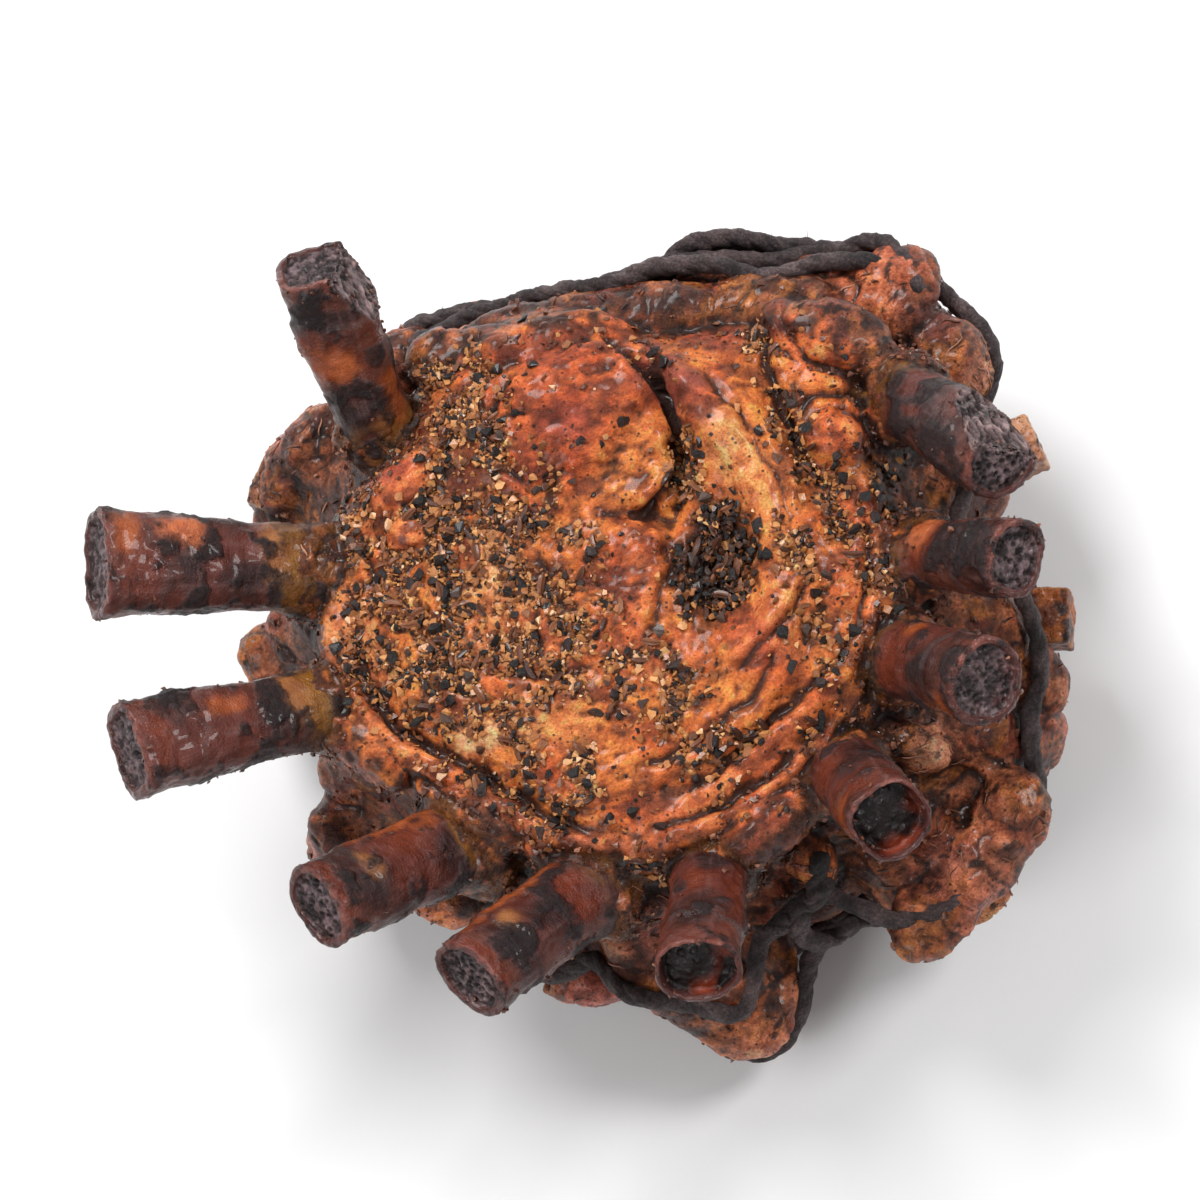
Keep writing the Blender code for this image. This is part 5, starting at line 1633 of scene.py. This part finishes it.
def make_shreds(centres, normals, areas, top, finish):
    """Torn fibres that lie along the wall and bridge its hollows."""
    draw = np.random.default_rng(77)
    points, faces, shades, count = [], [], [], 0

    def lay(place, normal, direction, length, girth, value):
        nonlocal count
        direction = direction - np.dot(direction, normal) * normal
        direction /= max(np.linalg.norm(direction), 1e-6)
        side = np.cross(normal, direction)
        sway, t = draw.normal(size=2) * 0.12, np.linspace(-0.5, 0.5, 6)
        arch = draw.uniform(-0.1, 0.3) * (0.25 - t**2) * 4 - 0.08 * (2 * t) ** 2
        path = place + np.outer(arch, normal) + np.outer(t * length, direction)
        path = path + np.outer(length * (sway[0] * np.sin(t * 5) + sway[1] * t * t), side)
        radii = girth * np.sqrt(np.clip(1 - (2 * t) ** 2, 0.03, 1))
        p, f = thread(path, radii, 5)
        points.append(p)
        faces.append(f + count)
        shades.append(np.full(len(p), value))
        count += len(p)

    weight = (1 - top) * areas * ramp(rough(centres / 9, 2, 60), -0.3, 0.4) * (centres[:, 2] > 5)
    for k in pick(draw, weight, FIBRE_COUNT):
        n = normals[k]
        down = np.array([0, 0, -1.0]) + draw.normal(size=3) * 0.3
        value = np.clip(0.45 + 0.22 * draw.normal(), 0, 1)
        lay(centres[k], n, down, draw.uniform(2, 5.5), draw.uniform(0.14, 0.34), value)
    for middle, reach, direction, many, length, light in FIBRE_BUNDLES:
        weight = bell(np.linalg.norm(centres - np.array(middle), axis=1) / reach) * areas + 1e-12
        for k in pick(draw, weight, many):
            lean = np.array(direction) + draw.normal(size=3) * 0.1
            value = np.clip(light + 0.15 * draw.normal(), 0, 1)
            size = length * draw.uniform(0.5, 1.0)
            lay(centres[k], normals[k], lean, size, draw.uniform(0.14, 0.32), value)
    made = mesh_object("torn_fibres", np.concatenate(points), np.concatenate(faces))
    paint(made, shade=np.concatenate(shades))
    dress(made, finish, "roast_meat")


def make_bone_crumbs(ribs, finish):
    """Charred crumbs that cling to the ribs."""
    draw = np.random.default_rng(64)
    places, facing, sizes, shades = [], [], [], []
    for rib, name in ribs:
        centres, normals, areas = surface_samples(rib)
        foot, tip, *_ = BONES[name]
        _, through, along = bone_frame(foot, tip)
        at = (centres - np.array(foot)) @ along
        body = (np.abs(normals @ along) < 0.5) & (at > 4)
        low = ramp(normals @ through, -0.1, 0.7)
        lip = bell((at - np.linalg.norm(np.array(tip) - foot)) / 2.0)
        weight = areas * body * (0.1 + 0.9 * low + 0.8 * lip)
        k = pick(draw, weight, RIB_CRUMBS)
        places.append(centres[k])
        facing.append(normals[k])
        sizes.append(0.3 + 0.75 * draw.random(len(k)) ** 2.2)
        shades.append(np.clip(0.22 + 0.2 * np.abs(draw.normal(size=len(k))), 0, 1))
    scatter(
        "bone_crumbs", chip_shapes(16, 0.75, 46, 9), np.concatenate(places), np.concatenate(facing),
        np.concatenate(sizes), 0.35, 0.6, 57, finish, "roast_bone", shade=np.concatenate(shades),
    )


# ---- studio ----
CAMERA_AT = (0.17106207, -0.17566207, 0.99262953)
CAMERA_AIM = (-0.0028, -0.0018, 0.075)
LENS = 123.913


def make_studio():
    """The camera at the photograph's angle, a pale floor and three soft lights."""
    scene = bpy.context.scene
    back = (Vector(CAMERA_AT) - Vector(CAMERA_AIM)).normalized()
    up = (Vector((0, 1, 0)) - back * back.y).normalized()
    right = up.cross(back)
    camera = bpy.data.objects.new("camera", bpy.data.cameras.new("camera"))
    camera.matrix_world = Matrix.Translation(CAMERA_AT) @ Matrix((right, up, back)).transposed().to_4x4()
    camera.data.lens = LENS
    camera.data.sensor_width = 36
    camera.data.clip_start, camera.data.clip_end = 0.01, 50
    scene.collection.objects.link(camera)
    scene.camera = camera

    corners = FLOOR_HALF * np.array([(-1, -1, 0), (1, -1, 0), (1, 1, 0), (-1, 1, 0)])
    floor = mesh_object("floor", corners, [(0, 1, 2, 3)])
    r = Recipe("pale floor")
    tint = r.steps(r.noise(3, 2, 0.5), (0.3, (0.9, 0.9, 0.905)), (0.7, (0.93, 0.93, 0.935)))
    floor.data.materials.append(r.finish(Base_Color=tint, Roughness=0.9, Specular_IOR_Level=0.1))

    world = bpy.data.worlds.new("studio")
    world.use_nodes = True
    world.node_tree.nodes["Background"].inputs["Color"].default_value = (1, 1, 1, 1)
    world.node_tree.nodes["Background"].inputs["Strength"].default_value = 0.33
    scene.world = world
    lights = [  # place, size, watts
        ((-0.45, 0.8, 1.15), 0.62, 18.0),
        ((0.8, 0.35, 1.0), 0.35, 7.0),
        ((-0.6, -0.7, 1.0), 0.6, 4.5),
    ]
    for k, (place, size, watts) in enumerate(lights):
        lamp = bpy.data.lights.new(f"softbox_{k}", "AREA")
        lamp.shape, lamp.size, lamp.energy = "DISK", size, watts
        holder = bpy.data.objects.new(f"softbox_{k}", lamp)
        holder.location = place
        holder.rotation_mode = "QUATERNION"
        holder.rotation_quaternion = (Vector((0, 0, 0.05)) - Vector(place)).to_track_quat("-Z", "Y")
        scene.collection.objects.link(holder)
    scene.view_settings.view_transform = "Standard"


def main():
    make_studio()
    meat = make_meat(meat_material())
    bone = bone_material()
    ribs = [(make_rib(k, name, bone), name) for k, name in enumerate(BONES)]
    chine = chine_material()
    for k, name in enumerate(CHINE_BLOCKS):
        make_chine(k, name, chine)
    twine = twine_material()
    bpy.context.view_layer.update()
    routes = []
    for k, (name, heights) in enumerate(TWINE_LOOPS.items()):
        route = hug(twine_route(heights, TWINE_RADIUS + 0.8), meat, TWINE_RADIUS + 0.2, True)
        twine_tube("plied_" + name, route, True, twine, 300 + 5 * k, name)
        routes.append(route)
    for k, (name, (path, off)) in enumerate(TWINE_RUNS.items()):
        t = np.linspace(0, 1, 150)
        line = smooth_path(path, t)
        radius = wall_at(line[:, 0], line[:, 1]) + off
        for _ in range(3):
            radius = np.maximum(radius, np.convolve(np.pad(radius, 6, "edge"), np.ones(13) / 13, "valid"))
        turn = np.radians(line[:, 0])
        route = np.stack([radius * np.cos(turn), radius * np.sin(turn), line[:, 1]], -1)
        route = hug(route, meat, off, False)
        twine_tube(name, route, False, twine, 340 + 5 * k)
        routes.append(route)
    twine_fuzz(routes, twine)
    make_bone_crumbs(ribs, make_spice(meat))


def wall_at(azimuth, height):
    """Radius of the wall at an azimuth and height."""
    share = np.linspace(RIM_AT - 0.06, BASE_AT, 200)
    found = []
    for a, z in zip(azimuth, height):
        line = meat_points(np.full(len(share), a), share)
        near = np.abs(line[:, 2] - z) < 2.5
        found.append(np.hypot(line[near, 0], line[near, 1]).max())
    return np.array(found)


main()
bpy.context.view_layer.update()
